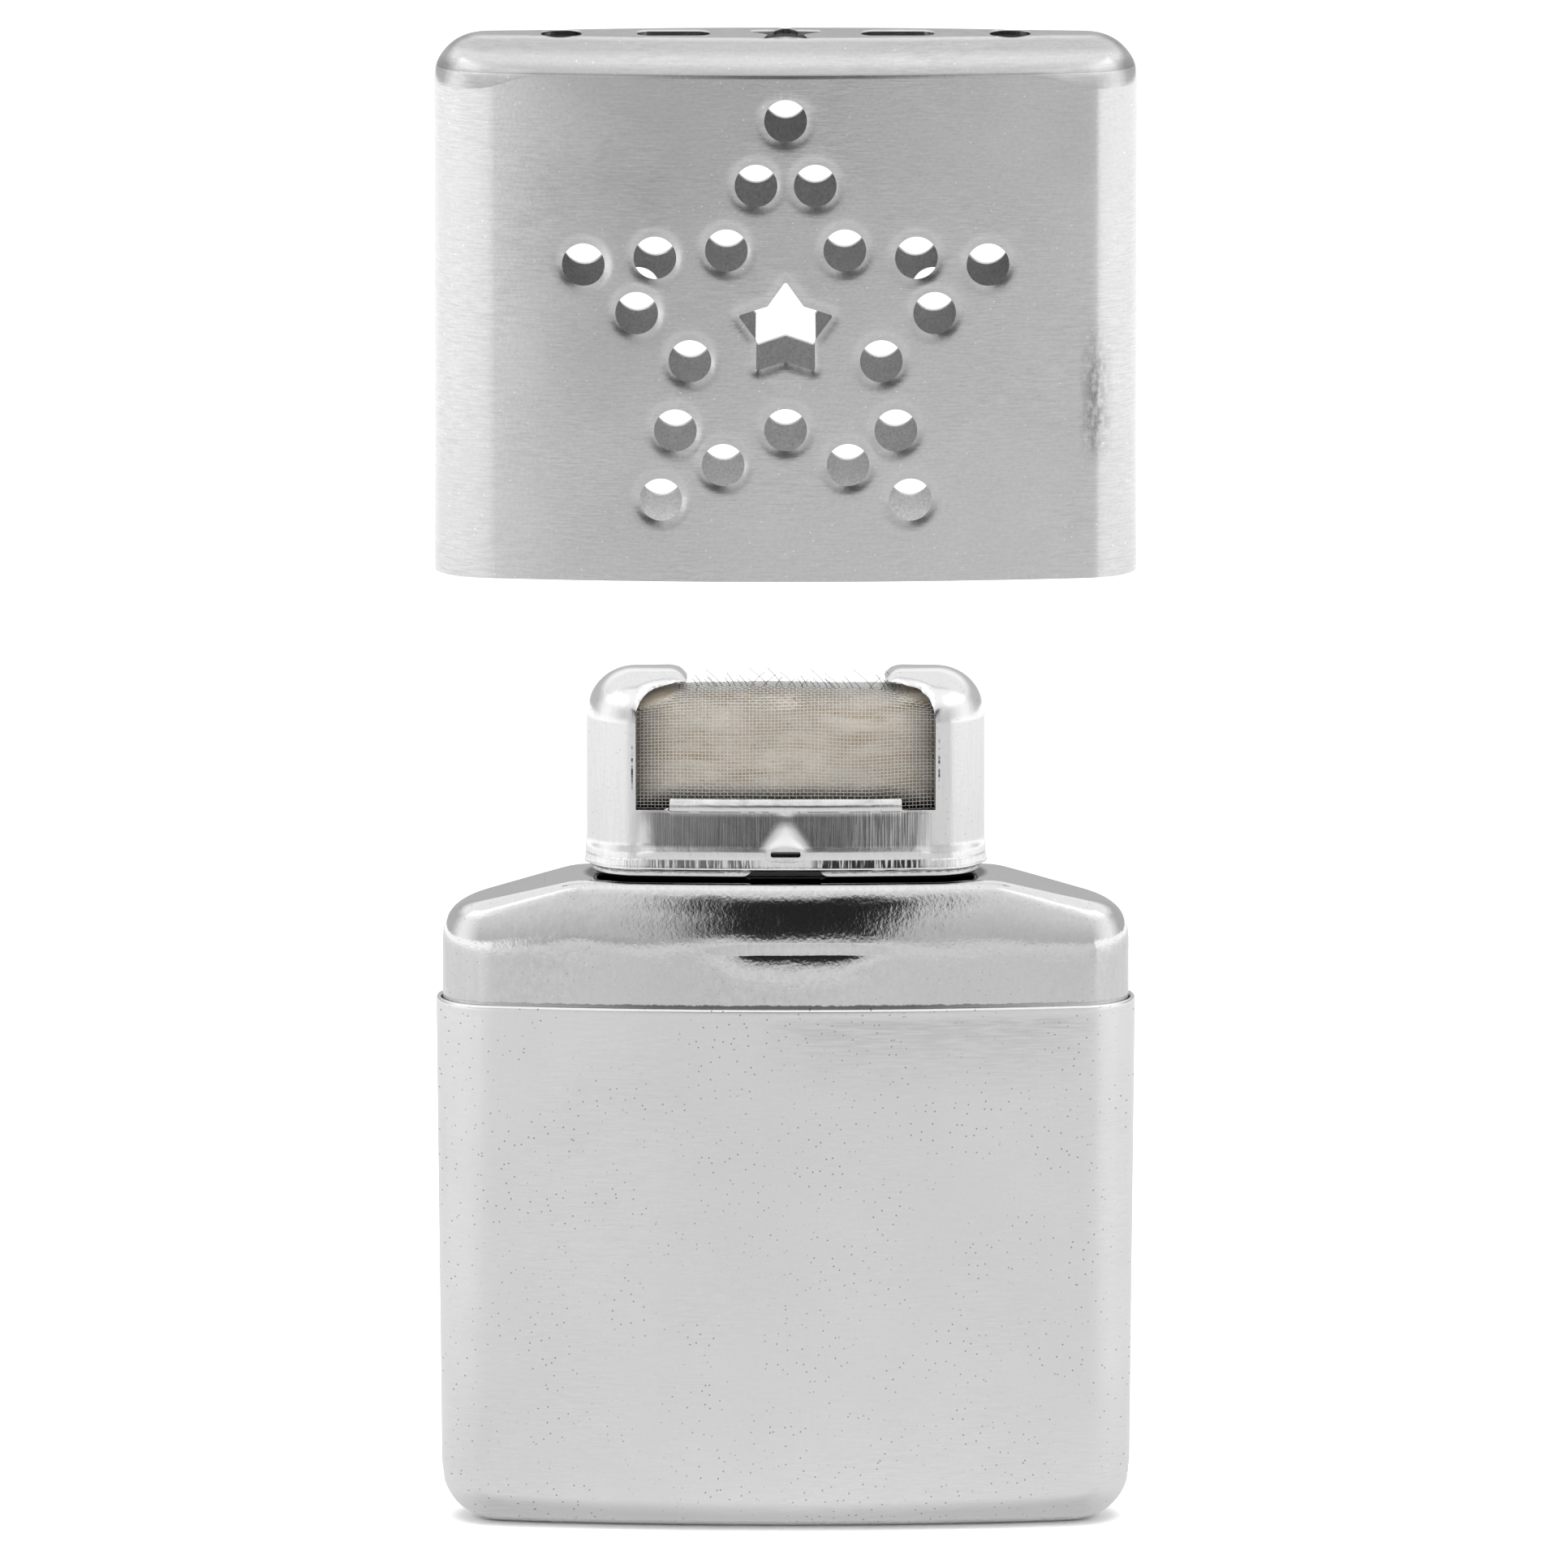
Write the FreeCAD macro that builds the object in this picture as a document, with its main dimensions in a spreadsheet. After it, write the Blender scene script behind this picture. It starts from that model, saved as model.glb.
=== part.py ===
import FreeCAD, Part
import math
import os

import Sketcher

# Catalytic hand warmer: a flat, oval fuel tank filled with cotton, a burner that plugs onto the
# tank's neck, and a perforated cover that slides over both.  Millimetres, +Z up, +X to the right,
# the front faces -Y.  The origin is the centre of the tank's base.  The cover stands lifted off.

SIZES = {
    # outline of the tank and the cover, seen from above: four tangent arcs
    "body_width": 66.0,
    "body_depth": 14.6,
    "body_end_radius": 5.3,
    # lower shell of the tank
    "tank_height": 50.6,
    "tank_wall": 0.5,
    "tank_draft": 0.5,
    "tank_base_fillet": 3.6,
    # shoulder shell of the tank, with the filler neck drawn up out of it
    "shoulder_gap": 0.1,
    "shoulder_wall": 0.45,
    "shoulder_skirt": 3.0,
    "shoulder_height": 11.8,
    "shoulder_slope": 14.2,
    "shoulder_fillet": 2.0,
    "roof_bend_radius": 8.0,
    "plateau_margin": 2.2,
    "neck_height": 5.2,
    # cotton and felt that hold the fuel
    "cotton_gap": 0.3,
    "cotton_roof_gap": 0.9,
    "cotton_foot_bevel": 1.8,
    "lower_cotton_top": 18.0,
    "middle_cotton_top": 35.0,
    "felt_gap": 0.1,
    "felt_depth": 4.4,
    # cover
    "cover_height": 51.0,
    "cover_wall": 0.45,
    "cover_fillet": 4.5,
    "cover_lift": 41.0,
    # vents in the cover's two faces: round holes on a five-pointed outline, and a star in its middle
    "pattern_drop": 27.1,
    "pattern_tip": 19.9,
    "pattern_waist": 9.42,
    "vent_radius": 2.0,
    "star_tip": 4.7,
    "star_waist": 2.87,
    # vents in the cover's top
    "top_vent_pitch": 10.5,
    "top_vent_radius": 1.9,
    "top_slot_length": 6.8,
    "top_slot_width": 2.6,
    "top_star_tip": 3.6,
    "top_star_waist": 1.75,
    # burner frame: a drawn cap with windows and a collar
    "burner_width": 37.5,
    "burner_depth": 10.5,
    "burner_end_radius": 4.7,
    "burner_height": 18.5,
    "burner_gap": 0.4,
    "frame_sheet": 0.4,
    "frame_fillet": 4.5,
    "collar_height": 5.6,
    "window_width": 28.2,
    "lip_opening": 18.6,
    "lip_root_depth": 9.4,
    "lip_tip_depth": 4.2,
    "sill_tab_width": 21.8,
    "sill_tab_height": 0.8,
    "sill_hem": 0.35,
    "skirt_flare": 0.25,
    "skirt_height": 1.4,
    # snap detent in the middle of the collar, front and back
    "detent_level": 2.1,
    "detent_width": 4.4,
    "detent_height": 2.6,
    "detent_rise": 0.55,
    "slit_level": 1.3,
    "slit_width": 2.8,
    "slit_height": 0.4,
    # sleeve inside the collar, which grips the neck
    "sleeve_gap": 0.05,
    "sleeve_sheet": 0.45,
    "sleeve_reveal": 0.9,
    "sleeve_height": 5.9,
    "sleeve_notch_width": 6.1,
    "sleeve_notch_height": 1.7,
    "sleeve_notch_corner": 0.4,
    "sleeve_hem_radius": 0.3,
    "neck_clearance": 0.15,
    # pad support, catalyst pad and gauze
    "support_sheet": 0.4,
    "support_slot_pitch": 5.0,
    "support_slot_width": 3.0,
    "support_slot_depth": 4.6,
    "gauze_gap": 0.05,
    "gauze_thickness": 0.3,
    "gauze_width": 31.0,
    "gauze_drop": 1.45,
    "gauze_fillet": 3.6,
    "pad_gap": 0.1,
}

PATTERN_ARMS = 5
THROUGH = 40.0
SLOT_COUNT = 5
HEM_ROOT = 0.05
SKIRT_SHARE = 0.2

doc = FreeCAD.newDocument("HandWarmer")
sheet = doc.addObject("Spreadsheet::Sheet", "Sizes")
for row, (alias, number) in enumerate(SIZES.items(), start=1):
    sheet.set(f"A{row}", alias)
    sheet.set(f"B{row}", str(number))
    sheet.setAlias(f"B{row}", alias)
doc.recompute()


class Size:
    """A length or angle with its number and the sheet formula that gives it."""

    def __init__(self, number, formula):
        self.number = number
        self.formula = formula

    def _join(self, sign, other, number):
        other_formula = other.formula if isinstance(other, Size) else repr(other)
        return Size(number, f"({self.formula} {sign} {other_formula})")

    def __add__(self, other):
        return self._join("+", other, self.number + number_of(other))

    def __sub__(self, other):
        return self._join("-", other, self.number - number_of(other))

    def __mul__(self, other):
        return self._join("*", other, self.number * number_of(other))

    def __truediv__(self, other):
        return self._join("/", other, self.number / number_of(other))

    def __neg__(self):
        return Size(-self.number, f"(-1 * {self.formula})")


def number_of(value):
    return value.number if isinstance(value, Size) else value


def size(alias):
    return Size(float(getattr(sheet, alias)), f"Sizes.{alias}")


def tangent(angle):
    return Size(math.tan(math.radians(angle.number)), f"tan({angle.formula})")


def polar(radius, degrees):
    """Point at a radius and a fixed angle, as a pair of sizes."""
    turn = math.radians(degrees)
    return radius * round(math.cos(turn), 9), radius * round(math.sin(turn), 9)


def bind(thing, name, value):
    thing.setExpression(name, value.formula)


# ---------------------------------------------------------------- places worked out from the sizes

FLUSH = Size(0.0, "0")
half_width = size("body_width") / 2
half_depth = size("body_depth") / 2
BODY_OVAL = (half_width, half_depth, size("body_end_radius"))
BURNER_OVAL = (size("burner_width") / 2, size("burner_depth") / 2, size("burner_end_radius"))

seam_z = size("tank_height")
plateau_z = seam_z + size("shoulder_height")
neck_top_z = plateau_z + size("neck_height")
shoulder_inset = size("tank_wall") + size("shoulder_gap")
neck_inset = size("frame_sheet") + size("sleeve_gap") + size("sleeve_sheet") + size("neck_clearance")
plateau_end = BURNER_OVAL[0] - neck_inset + size("plateau_margin")

sleeve_z = plateau_z + size("burner_gap")
collar_z = sleeve_z + size("sleeve_reveal")
burner_top_z = collar_z + size("burner_height")
sill_z = collar_z + size("collar_height")
support_z = sleeve_z + size("sleeve_height")
gauze_z = support_z + size("support_sheet")
gauze_inset = size("frame_sheet") + size("sill_hem") + size("gauze_gap")

rim_z = seam_z + size("cover_lift")
cover_top_z = rim_z + size("cover_height")
pattern_z = cover_top_z - size("pattern_drop")


# ---------------------------------------------------------------- helpers for sketches and features


def new_body(label):
    body = doc.addObject("PartDesign::Body", label)
    body.Label = label
    return body


def new_sketch(body, name, plane, height=None):
    """Sketch on one of the body's origin planes, raised by height along the plane's normal."""
    sketch = body.newObject("Sketcher::SketchObject", name)
    origin_plane = [f for f in body.Origin.OriginFeatures if f.Role == plane][0]
    sketch.AttachmentSupport = [(origin_plane, "")]
    sketch.MapMode = "FlatFace"
    if height is not None:
        bind(sketch, "AttachmentOffset.Base.z", height)
    return sketch


def inset_oval(oval, inset):
    return tuple(radius - inset for radius in oval)


def draw_oval(sketch, oval):
    """Closed outline of two end arcs and two flat face arcs, all tangent."""
    reach, depth, end_radius = oval
    centre = reach - end_radius
    face_radius = (centre * centre + depth * depth - end_radius * end_radius) / ((depth - end_radius) * 2)
    a, r, big = centre.number, end_radius.number, face_radius.number
    drop = big - depth.number
    joint = math.atan2(drop, a)
    up = FreeCAD.Vector(0, 0, 1)

    def arc(x, y, radius, start, end):
        circle = Part.Circle(FreeCAD.Vector(x, y, 0), up, radius)
        sketch.addGeometry(Part.ArcOfCircle(circle, start, end), False)

    arc(a, 0, r, -joint, joint)
    arc(0, -drop, big, joint, math.pi - joint)
    arc(-a, 0, r, math.pi - joint, math.pi + joint)
    arc(0, drop, big, math.pi + joint, 2 * math.pi - joint)
    for i in range(4):
        sketch.addConstraint(Sketcher.Constraint("Tangent", i, 2, (i + 1) % 4, 1))
    sketch.addConstraint(Sketcher.Constraint("PointOnObject", 0, 3, -1))
    sketch.addConstraint(Sketcher.Constraint("PointOnObject", 2, 3, -1))
    driven = [
        (Sketcher.Constraint("DistanceX", -1, 1, 0, 3, a), centre),
        (Sketcher.Constraint("DistanceX", 2, 3, -1, 1, a), centre),
        (Sketcher.Constraint("Radius", 0, r), end_radius),
        (Sketcher.Constraint("Radius", 2, r), end_radius),
        (Sketcher.Constraint("Radius", 1, big), face_radius),
        (Sketcher.Constraint("Radius", 3, big), face_radius),
    ]
    for constraint, value in driven:
        bind(sketch, f"Constraints[{sketch.addConstraint(constraint)}]", value)


def fix_point(sketch, geometry, end, x, y):
    """Holds one point of the sketch at a distance from the sketch's origin."""
    for kind, value in (("DistanceX", x), ("DistanceY", y)):
        index = sketch.addConstraint(Sketcher.Constraint(kind, -1, 1, geometry, end, number_of(value)))
        if isinstance(value, Size):
            bind(sketch, f"Constraints[{index}]", value)


def draw_polygon(sketch, points):
    """Closed outline of straight lines through points given as pairs of sizes."""
    corners = [FreeCAD.Vector(number_of(x), number_of(y), 0) for x, y in points]
    count = len(corners)
    first = sketch.GeometryCount
    for i in range(count):
        sketch.addGeometry(Part.LineSegment(corners[i], corners[(i + 1) % count]), False)
    for i in range(count):
        sketch.addConstraint(Sketcher.Constraint("Coincident", first + i, 2, first + (i + 1) % count, 1))
    for i, (x, y) in enumerate(points):
        fix_point(sketch, first + i, 1, x, y)


def draw_rectangle(sketch, x_low, x_high, y_low, y_high):
    draw_polygon(sketch, [(x_low, y_low), (x_high, y_low), (x_high, y_high), (x_low, y_high)])


def draw_circle(sketch, x, y, radius):
    centre = FreeCAD.Vector(number_of(x), number_of(y), 0)
    index = sketch.addGeometry(Part.Circle(centre, FreeCAD.Vector(0, 0, 1), radius.number), False)
    bind(sketch, f"Constraints[{sketch.addConstraint(Sketcher.Constraint('Radius', index, radius.number))}]", radius)
    fix_point(sketch, index, 3, x, y)


def extrude(body, kind, name, sketch, length, taper=None, reverse=False):
    """Pad or Pocket of a given length."""
    feature = body.newObject(f"PartDesign::{kind}", name)
    feature.Profile = sketch
    bind(feature, "Length", length)
    feature.Reversed = reverse
    if taper is not None:
        bind(feature, "TaperAngle", taper)
    doc.recompute()
    return feature


def cut_through(body, name, sketch):
    """Pocket that passes right through the body, both ways from its sketch."""
    feature = body.newObject("PartDesign::Pocket", name)
    feature.Profile = sketch
    feature.Type = "Length"
    feature.Length = THROUGH
    feature.Midplane = True
    doc.recompute()
    return feature


def ease_edges(body, kind, name, base, parameter, value, chosen):
    """Treats the edges of the base feature that the test picks."""
    edges = [f"Edge{i}" for i, edge in enumerate(base.Shape.Edges, start=1) if chosen(edge)]
    feature = body.newObject(f"PartDesign::{kind}", name)
    feature.Base = (base, edges)
    bind(feature, parameter, value)
    doc.recompute()
    return feature


def fillet(body, name, base, radius, chosen):
    return ease_edges(body, "Fillet", name, base, "Radius", radius, chosen)


def bevel(body, name, base, width, chosen):
    return ease_edges(body, "Chamfer", name, base, "Size", width, chosen)


def mirror(body, name, features, plane):
    """Copies features to the other side of one of the body's origin planes."""
    mirrored = body.newObject("PartDesign::Mirrored", name)
    mirrored.Originals = features
    mirrored.MirrorPlane = ([f for f in body.Origin.OriginFeatures if f.Role == plane][0], [""])
    body.Tip = mirrored
    doc.recompute()
    return mirrored


def repeat_round(body, name, features, sketch, count):
    """Repeats features in a ring about the normal of their sketch."""
    ring = body.newObject("PartDesign::PolarPattern", name)
    ring.Originals = features
    ring.Axis = (sketch, ["N_Axis"])
    ring.Angle = 360
    ring.Occurrences = count
    body.Tip = ring
    doc.recompute()
    return ring


def at_height(z):
    """Test for edges or faces that lie flat at one height."""
    level = number_of(z)
    return lambda shape: abs(shape.BoundBox.ZMin - level) < 1e-4 and abs(shape.BoundBox.ZMax - level) < 1e-4


def hollow_out(body, name, base, wall, chosen):
    """Leaves a wall of even thickness and opens the faces that the test picks."""
    faces = [f"Face{i}" for i, face in enumerate(base.Shape.Faces, start=1) if chosen(face)]
    feature = body.newObject("PartDesign::Thickness", name)
    feature.Base = (base, faces)
    feature.Reversed = True
    bind(feature, "Value", wall)
    doc.recompute()
    return feature


def cut_with_body(body, name, tool):
    """Takes the solid of another body away from this one."""
    feature = body.newObject("PartDesign::Boolean", name)
    feature.Type = "Cut"
    feature.addObjects([tool])
    body.Tip = feature
    doc.recompute()
    return feature


# ---------------------------------------------------------------- the tank


def draft_inset(z):
    """How far the tank's draft brings its wall in at a height below the seam."""
    return (seam_z - z) * tangent(size("tank_draft"))


def make_cup_block(label, inset, floor_z, foot_radius):
    """Oval block that widens slightly upwards, with a rounded foot."""
    body = new_body(label)
    outline = new_sketch(body, label + "_outline", "XY_Plane", floor_z)
    draw_oval(outline, inset_oval(BODY_OVAL, inset + draft_inset(floor_z)))
    block = extrude(body, "Pad", label + "_pad", outline, seam_z - floor_z, taper=size("tank_draft"))
    fillet(body, label + "_foot", block, foot_radius, at_height(floor_z))
    return body


def make_tank_lower_shell():
    """Drawn cup that widens slightly towards its mouth."""
    wall = size("tank_wall")
    outside = make_cup_block("tank_lower_shell", FLUSH, FLUSH, size("tank_base_fillet"))
    inside = make_cup_block("tank_hollow", wall, wall, size("tank_base_fillet") - wall)
    cut_with_body(outside, "tank_hollow_cut", inside)
    return outside


def make_sloped_block(label, inset, foot_z, roof_drop):
    """Oval block whose top is a level plateau with a slope down to each end."""
    body = new_body(label)
    top_z = plateau_z - roof_drop
    outline = new_sketch(body, label + "_outline", "XY_Plane", foot_z)
    draw_oval(outline, inset_oval(BODY_OVAL, inset))
    extrude(body, "Pad", label + "_pad", outline, top_z - foot_z)
    fall = (half_width - plateau_end) * tangent(size("shoulder_slope"))
    wedge = new_sketch(body, label + "_wedge", "XZ_Plane")
    draw_polygon(wedge, [(plateau_end, top_z), (half_width, top_z), (half_width, top_z - fall)])
    slope = cut_through(body, label + "_slope", wedge)
    mirror(body, label + "_slopes", [slope], "YZ_Plane")
    return body


def make_roofed_block(label, inset, foot_z, roof_drop, edge_radius):
    """Sloped block with its bends and its rim rounded."""
    body = make_sloped_block(label, inset, foot_z, roof_drop)
    bend = plateau_end.number

    def is_bend(edge):
        box = edge.BoundBox
        return box.XLength < 1e-4 and abs(abs(box.XMin) - bend) < 1e-3 and box.ZLength < 1e-4

    bent = fillet(body, label + "_bends", body.Tip, size("roof_bend_radius"), is_bend)
    roof_height = plateau_z.number - roof_drop.number - foot_z.number
    wall_top = foot_z.number + SKIRT_SHARE * roof_height

    def is_rim(edge):
        middle = edge.valueAt((edge.FirstParameter + edge.LastParameter) / 2)
        across = edge.BoundBox.XLength < 1e-4 and edge.BoundBox.YLength > half_depth.number
        return edge.BoundBox.ZMin > wall_top and not across and on_outline(middle, inset)

    fillet(body, label + "_rim", bent, edge_radius, is_rim)
    return body


def on_outline(point, inset):
    """Whether a point lies on the wall of the body outline, inset by a distance."""
    reach, depth, end_radius = (r.number for r in inset_oval(BODY_OVAL, inset))
    centre = reach - end_radius
    face_radius = (centre**2 + depth**2 - end_radius**2) / (2 * (depth - end_radius))
    to_end = math.hypot(abs(point.x) - centre, point.y)
    to_face = math.hypot(point.x, abs(point.y) + face_radius - depth)
    return abs(to_end - end_radius) < 1e-3 or abs(to_face - face_radius) < 1e-3


def make_tank_shoulder_shell():
    """Drawn top of the tank: skirt inside the lower shell, sloping roof and oval filler neck."""
    foot_z = seam_z - size("shoulder_skirt")
    wall = size("shoulder_wall")
    outside = make_roofed_block("tank_shoulder_shell", shoulder_inset, foot_z, FLUSH,
                                size("shoulder_fillet"))
    neck = new_sketch(outside, "neck_outline", "XY_Plane", plateau_z - wall)
    draw_oval(neck, inset_oval(BURNER_OVAL, neck_inset))
    extrude(outside, "Pad", "neck_pad", neck, size("neck_height") + wall)
    inside = make_roofed_block("shoulder_hollow", shoulder_inset + wall, foot_z - wall, wall,
                               size("shoulder_fillet") - wall)
    bore = new_sketch(inside, "neck_bore", "XY_Plane", plateau_z - wall * 2)
    draw_oval(bore, inset_oval(BURNER_OVAL, neck_inset + wall))
    extrude(inside, "Pad", "neck_bore_pad", bore, size("neck_height") + wall * 3)
    cut_with_body(outside, "shoulder_hollow_cut", inside)
    return outside


def make_cotton_layer(label, low, high):
    """Wad of cotton that fills the tank from one height to another."""
    body = new_body(label)
    clear = size("tank_wall") + size("cotton_gap")
    outline = new_sketch(body, label + "_outline", "XY_Plane", low)
    draw_oval(outline, inset_oval(BODY_OVAL, clear + draft_inset(low)))
    extrude(body, "Pad", label + "_pad", outline, high - low)
    return body


def make_cotton():
    gap = size("cotton_gap")
    floor = size("tank_wall") + gap
    lower_top = size("lower_cotton_top")
    middle_top = size("middle_cotton_top")
    lower = make_cotton_layer("cotton_lower", floor, lower_top)
    bevel(lower, "cotton_lower_foot", lower.Tip, size("cotton_foot_bevel"), at_height(floor))
    middle = make_cotton_layer("cotton_middle", lower_top + gap, middle_top)
    clear = shoulder_inset + size("shoulder_wall") + gap
    under_roof = size("shoulder_wall") + size("cotton_roof_gap")
    upper = make_sloped_block("cotton_upper", clear, middle_top + gap, under_roof)
    return [lower, middle, upper]


def make_neck_felt():
    """Felt plug that rises into the neck and gives off the vapour."""
    body = new_body("neck_felt")
    gap = size("felt_gap")
    foot = plateau_z - size("shoulder_wall")
    outline = new_sketch(body, "felt_outline", "XY_Plane", foot)
    draw_oval(outline, inset_oval(BURNER_OVAL, neck_inset + size("shoulder_wall") + gap))
    extrude(body, "Pad", "felt_pad", outline, neck_top_z - size("felt_depth") - foot)
    return body


# ---------------------------------------------------------------- the cover


def draw_star(sketch, tip, waist):
    step = 180 / PATTERN_ARMS
    draw_polygon(sketch, [polar(waist if i % 2 else tip, 90 + i * step) for i in range(2 * PATTERN_ARMS)])


def make_cover_shell():
    """Drawn cover with star-shaped groups of vents front and back, and a row of vents on top."""
    body = new_body("cover_shell")
    outline = new_sketch(body, "cover_outline", "XY_Plane", rim_z)
    draw_oval(outline, BODY_OVAL)
    block = extrude(body, "Pad", "cover_block", outline, size("cover_height"))
    rounded = fillet(body, "cover_crown", block, size("cover_fillet"), at_height(cover_top_z))
    hollow_out(body, "cover_hollow", rounded, size("cover_wall"), at_height(rim_z))

    arm = new_sketch(body, "vent_arm", "XZ_Plane")
    bind(arm, "AttachmentOffset.Base.y", pattern_z)
    tip = polar(size("pattern_tip"), 90)
    draw_circle(arm, *tip, size("vent_radius"))
    for side in (-1, 1):
        waist = polar(size("pattern_waist"), 90 + side * 180 / PATTERN_ARMS)
        draw_circle(arm, (waist[0] + tip[0]) / 2, (waist[1] + tip[1]) / 2, size("vent_radius"))
    draw_circle(arm, *polar(size("pattern_waist"), 90 + 180 / PATTERN_ARMS), size("vent_radius"))
    arm_cut = cut_through(body, "vent_arm_cut", arm)
    repeat_round(body, "vent_ring", [arm_cut], arm, PATTERN_ARMS)

    star = new_sketch(body, "star_vent", "XZ_Plane")
    bind(star, "AttachmentOffset.Base.y", pattern_z)
    draw_star(star, size("star_tip"), size("star_waist"))
    cut_through(body, "star_vent_cut", star)

    top = new_sketch(body, "top_vents", "XY_Plane", cover_top_z)
    pitch = size("top_vent_pitch")
    for side in (-1, 1):
        draw_circle(top, pitch * (2 * side), FLUSH, size("top_vent_radius"))
        half_slot = size("top_slot_length") / 2
        half_gap = size("top_slot_width") / 2
        draw_rectangle(top, pitch * side - half_slot, pitch * side + half_slot, -half_gap, half_gap)
    draw_star(top, size("top_star_tip"), size("top_star_waist"))
    extrude(body, "Pocket", "top_vent_cut", top, size("cover_fillet"))
    return body


# ---------------------------------------------------------------- the burner


def make_capped_oval(label, inset, foot_z, top_z, crown_radius):
    """Oval block with its top edge rounded over."""
    body = new_body(label)
    outline = new_sketch(body, label + "_outline", "XY_Plane", foot_z)
    draw_oval(outline, inset_oval(BURNER_OVAL, inset))
    block = extrude(body, "Pad", label + "_block", outline, top_z - foot_z)
    fillet(body, label + "_crown", block, crown_radius, at_height(top_z))
    return body


def make_burner_frame():
    """Drawn cap with a window in each face that runs over the top between two curled lips."""
    gauge = size("frame_sheet")
    body = make_capped_oval("burner_frame", FLUSH, collar_z, burner_top_z, size("frame_fillet"))
    hollow_out(body, "frame_hollow", body.Tip, gauge, at_height(collar_z))
    skirt = new_sketch(body, "skirt_outline", "XY_Plane", collar_z)
    draw_oval(skirt, inset_oval(BURNER_OVAL, -size("skirt_flare")))
    extrude(body, "Pad", "skirt_pad", skirt, size("skirt_height"))

    bump = body.newObject("PartDesign::AdditiveEllipsoid", "detent_bump")
    bind(bump, "Radius1", size("detent_height") / 2)
    bind(bump, "Radius2", size("detent_width") / 2)
    bind(bump, "Radius3", size("detent_rise") + gauge)
    bind(bump, "Placement.Base.y", gauge - BURNER_OVAL[1])
    bind(bump, "Placement.Base.z", collar_z + size("detent_level"))
    mirror(body, "detent_bumps", [bump], "XZ_Plane")
    clearing = new_sketch(body, "collar_bore", "XY_Plane", collar_z)
    draw_oval(clearing, inset_oval(BURNER_OVAL, gauge))
    extrude(body, "Pocket", "collar_bore_cut", clearing, size("collar_height"), reverse=True)
    slit = new_sketch(body, "detent_slit", "XZ_Plane")
    half_slit = size("slit_width") / 2
    slit_z = collar_z + size("slit_level")
    draw_rectangle(slit, -half_slit, half_slit, slit_z, slit_z + size("slit_height"))
    cut_through(body, "detent_slit_cut", slit)

    half_window = size("window_width") / 2
    half_tab = size("sill_tab_width") / 2
    tab_z = sill_z + size("sill_tab_height")
    crown_z = burner_top_z - size("frame_fillet")
    window = new_sketch(body, "window_outline", "XZ_Plane")
    draw_polygon(window, [
        (-half_window, sill_z), (-half_tab, sill_z), (-half_tab, tab_z), (half_tab, tab_z),
        (half_tab, sill_z), (half_window, sill_z), (half_window, crown_z), (-half_window, crown_z),
    ])
    cut_through(body, "window_cut", window)
    lips = new_sketch(body, "lip_outline", "XY_Plane", crown_z)
    half_gap = size("lip_opening") / 2
    root = size("lip_root_depth") / 2
    tip = size("lip_tip_depth") / 2
    outer = BURNER_OVAL[1] * 2
    draw_polygon(lips, [
        (half_window, -outer), (half_window, -root), (half_gap, -tip), (half_gap, tip),
        (half_window, root), (half_window, outer), (-half_window, outer), (-half_window, root),
        (-half_gap, tip), (-half_gap, -tip), (-half_window, -root), (-half_window, -outer),
    ])
    extrude(body, "Pocket", "lip_cut", lips, size("frame_fillet") * 2, reverse=True)

    hem = new_sketch(body, "hem_outline", "XY_Plane", sill_z)
    wall_back = gauge - BURNER_OVAL[1]
    draw_rectangle(hem, -half_tab, half_tab, wall_back - gauge * HEM_ROOT, wall_back + size("sill_hem"))
    hem_pad = extrude(body, "Pad", "hem_pad", hem, size("sill_tab_height"))
    mirror(body, "hem_pads", [hem_pad], "XZ_Plane")
    return body


def make_burner_inner_sleeve():
    """Oval band inside the collar, with a relief notch under each detent."""
    body = new_body("burner_inner_sleeve")
    inset = size("frame_sheet") + size("sleeve_gap")
    outline = new_sketch(body, "sleeve_outline", "XY_Plane", sleeve_z)
    draw_oval(outline, inset_oval(BURNER_OVAL, inset))
    block = extrude(body, "Pad", "sleeve_block", outline, size("sleeve_height"))
    fillet(body, "sleeve_hem", block, size("sleeve_hem_radius"), at_height(sleeve_z))
    bore = new_sketch(body, "sleeve_bore", "XY_Plane", support_z)
    draw_oval(bore, inset_oval(BURNER_OVAL, inset + size("sleeve_sheet")))
    cut_through(body, "sleeve_bore_cut", bore)
    notch = new_sketch(body, "sleeve_notch", "XZ_Plane")
    half_notch = size("sleeve_notch_width") / 2
    lead = size("sleeve_notch_corner")
    top = sleeve_z + size("sleeve_notch_height")
    draw_polygon(notch, [
        (-half_notch - lead, sleeve_z - lead), (half_notch + lead, sleeve_z - lead),
        (half_notch, sleeve_z + lead), (half_notch, top), (-half_notch, top), (-half_notch, sleeve_z + lead),
    ])
    cut_through(body, "sleeve_notch_cut", notch)
    return body


def make_pad_support():
    """Slotted plate on top of the sleeve that carries the catalyst pad."""
    body = new_body("pad_support")
    outline = new_sketch(body, "support_outline", "XY_Plane", support_z)
    draw_oval(outline, inset_oval(BURNER_OVAL, size("frame_sheet") + size("sleeve_gap")))
    extrude(body, "Pad", "support_plate", outline, size("support_sheet"))
    slots = new_sketch(body, "support_slots", "XY_Plane", support_z)
    half_slot = size("support_slot_width") / 2
    half_length = size("support_slot_depth") / 2
    for i in range(SLOT_COUNT):
        middle = size("support_slot_pitch") * (i - (SLOT_COUNT - 1) / 2)
        draw_rectangle(slots, middle - half_slot, middle + half_slot, -half_length, half_length)
    cut_through(body, "support_slot_cut", slots)
    return body


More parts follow.
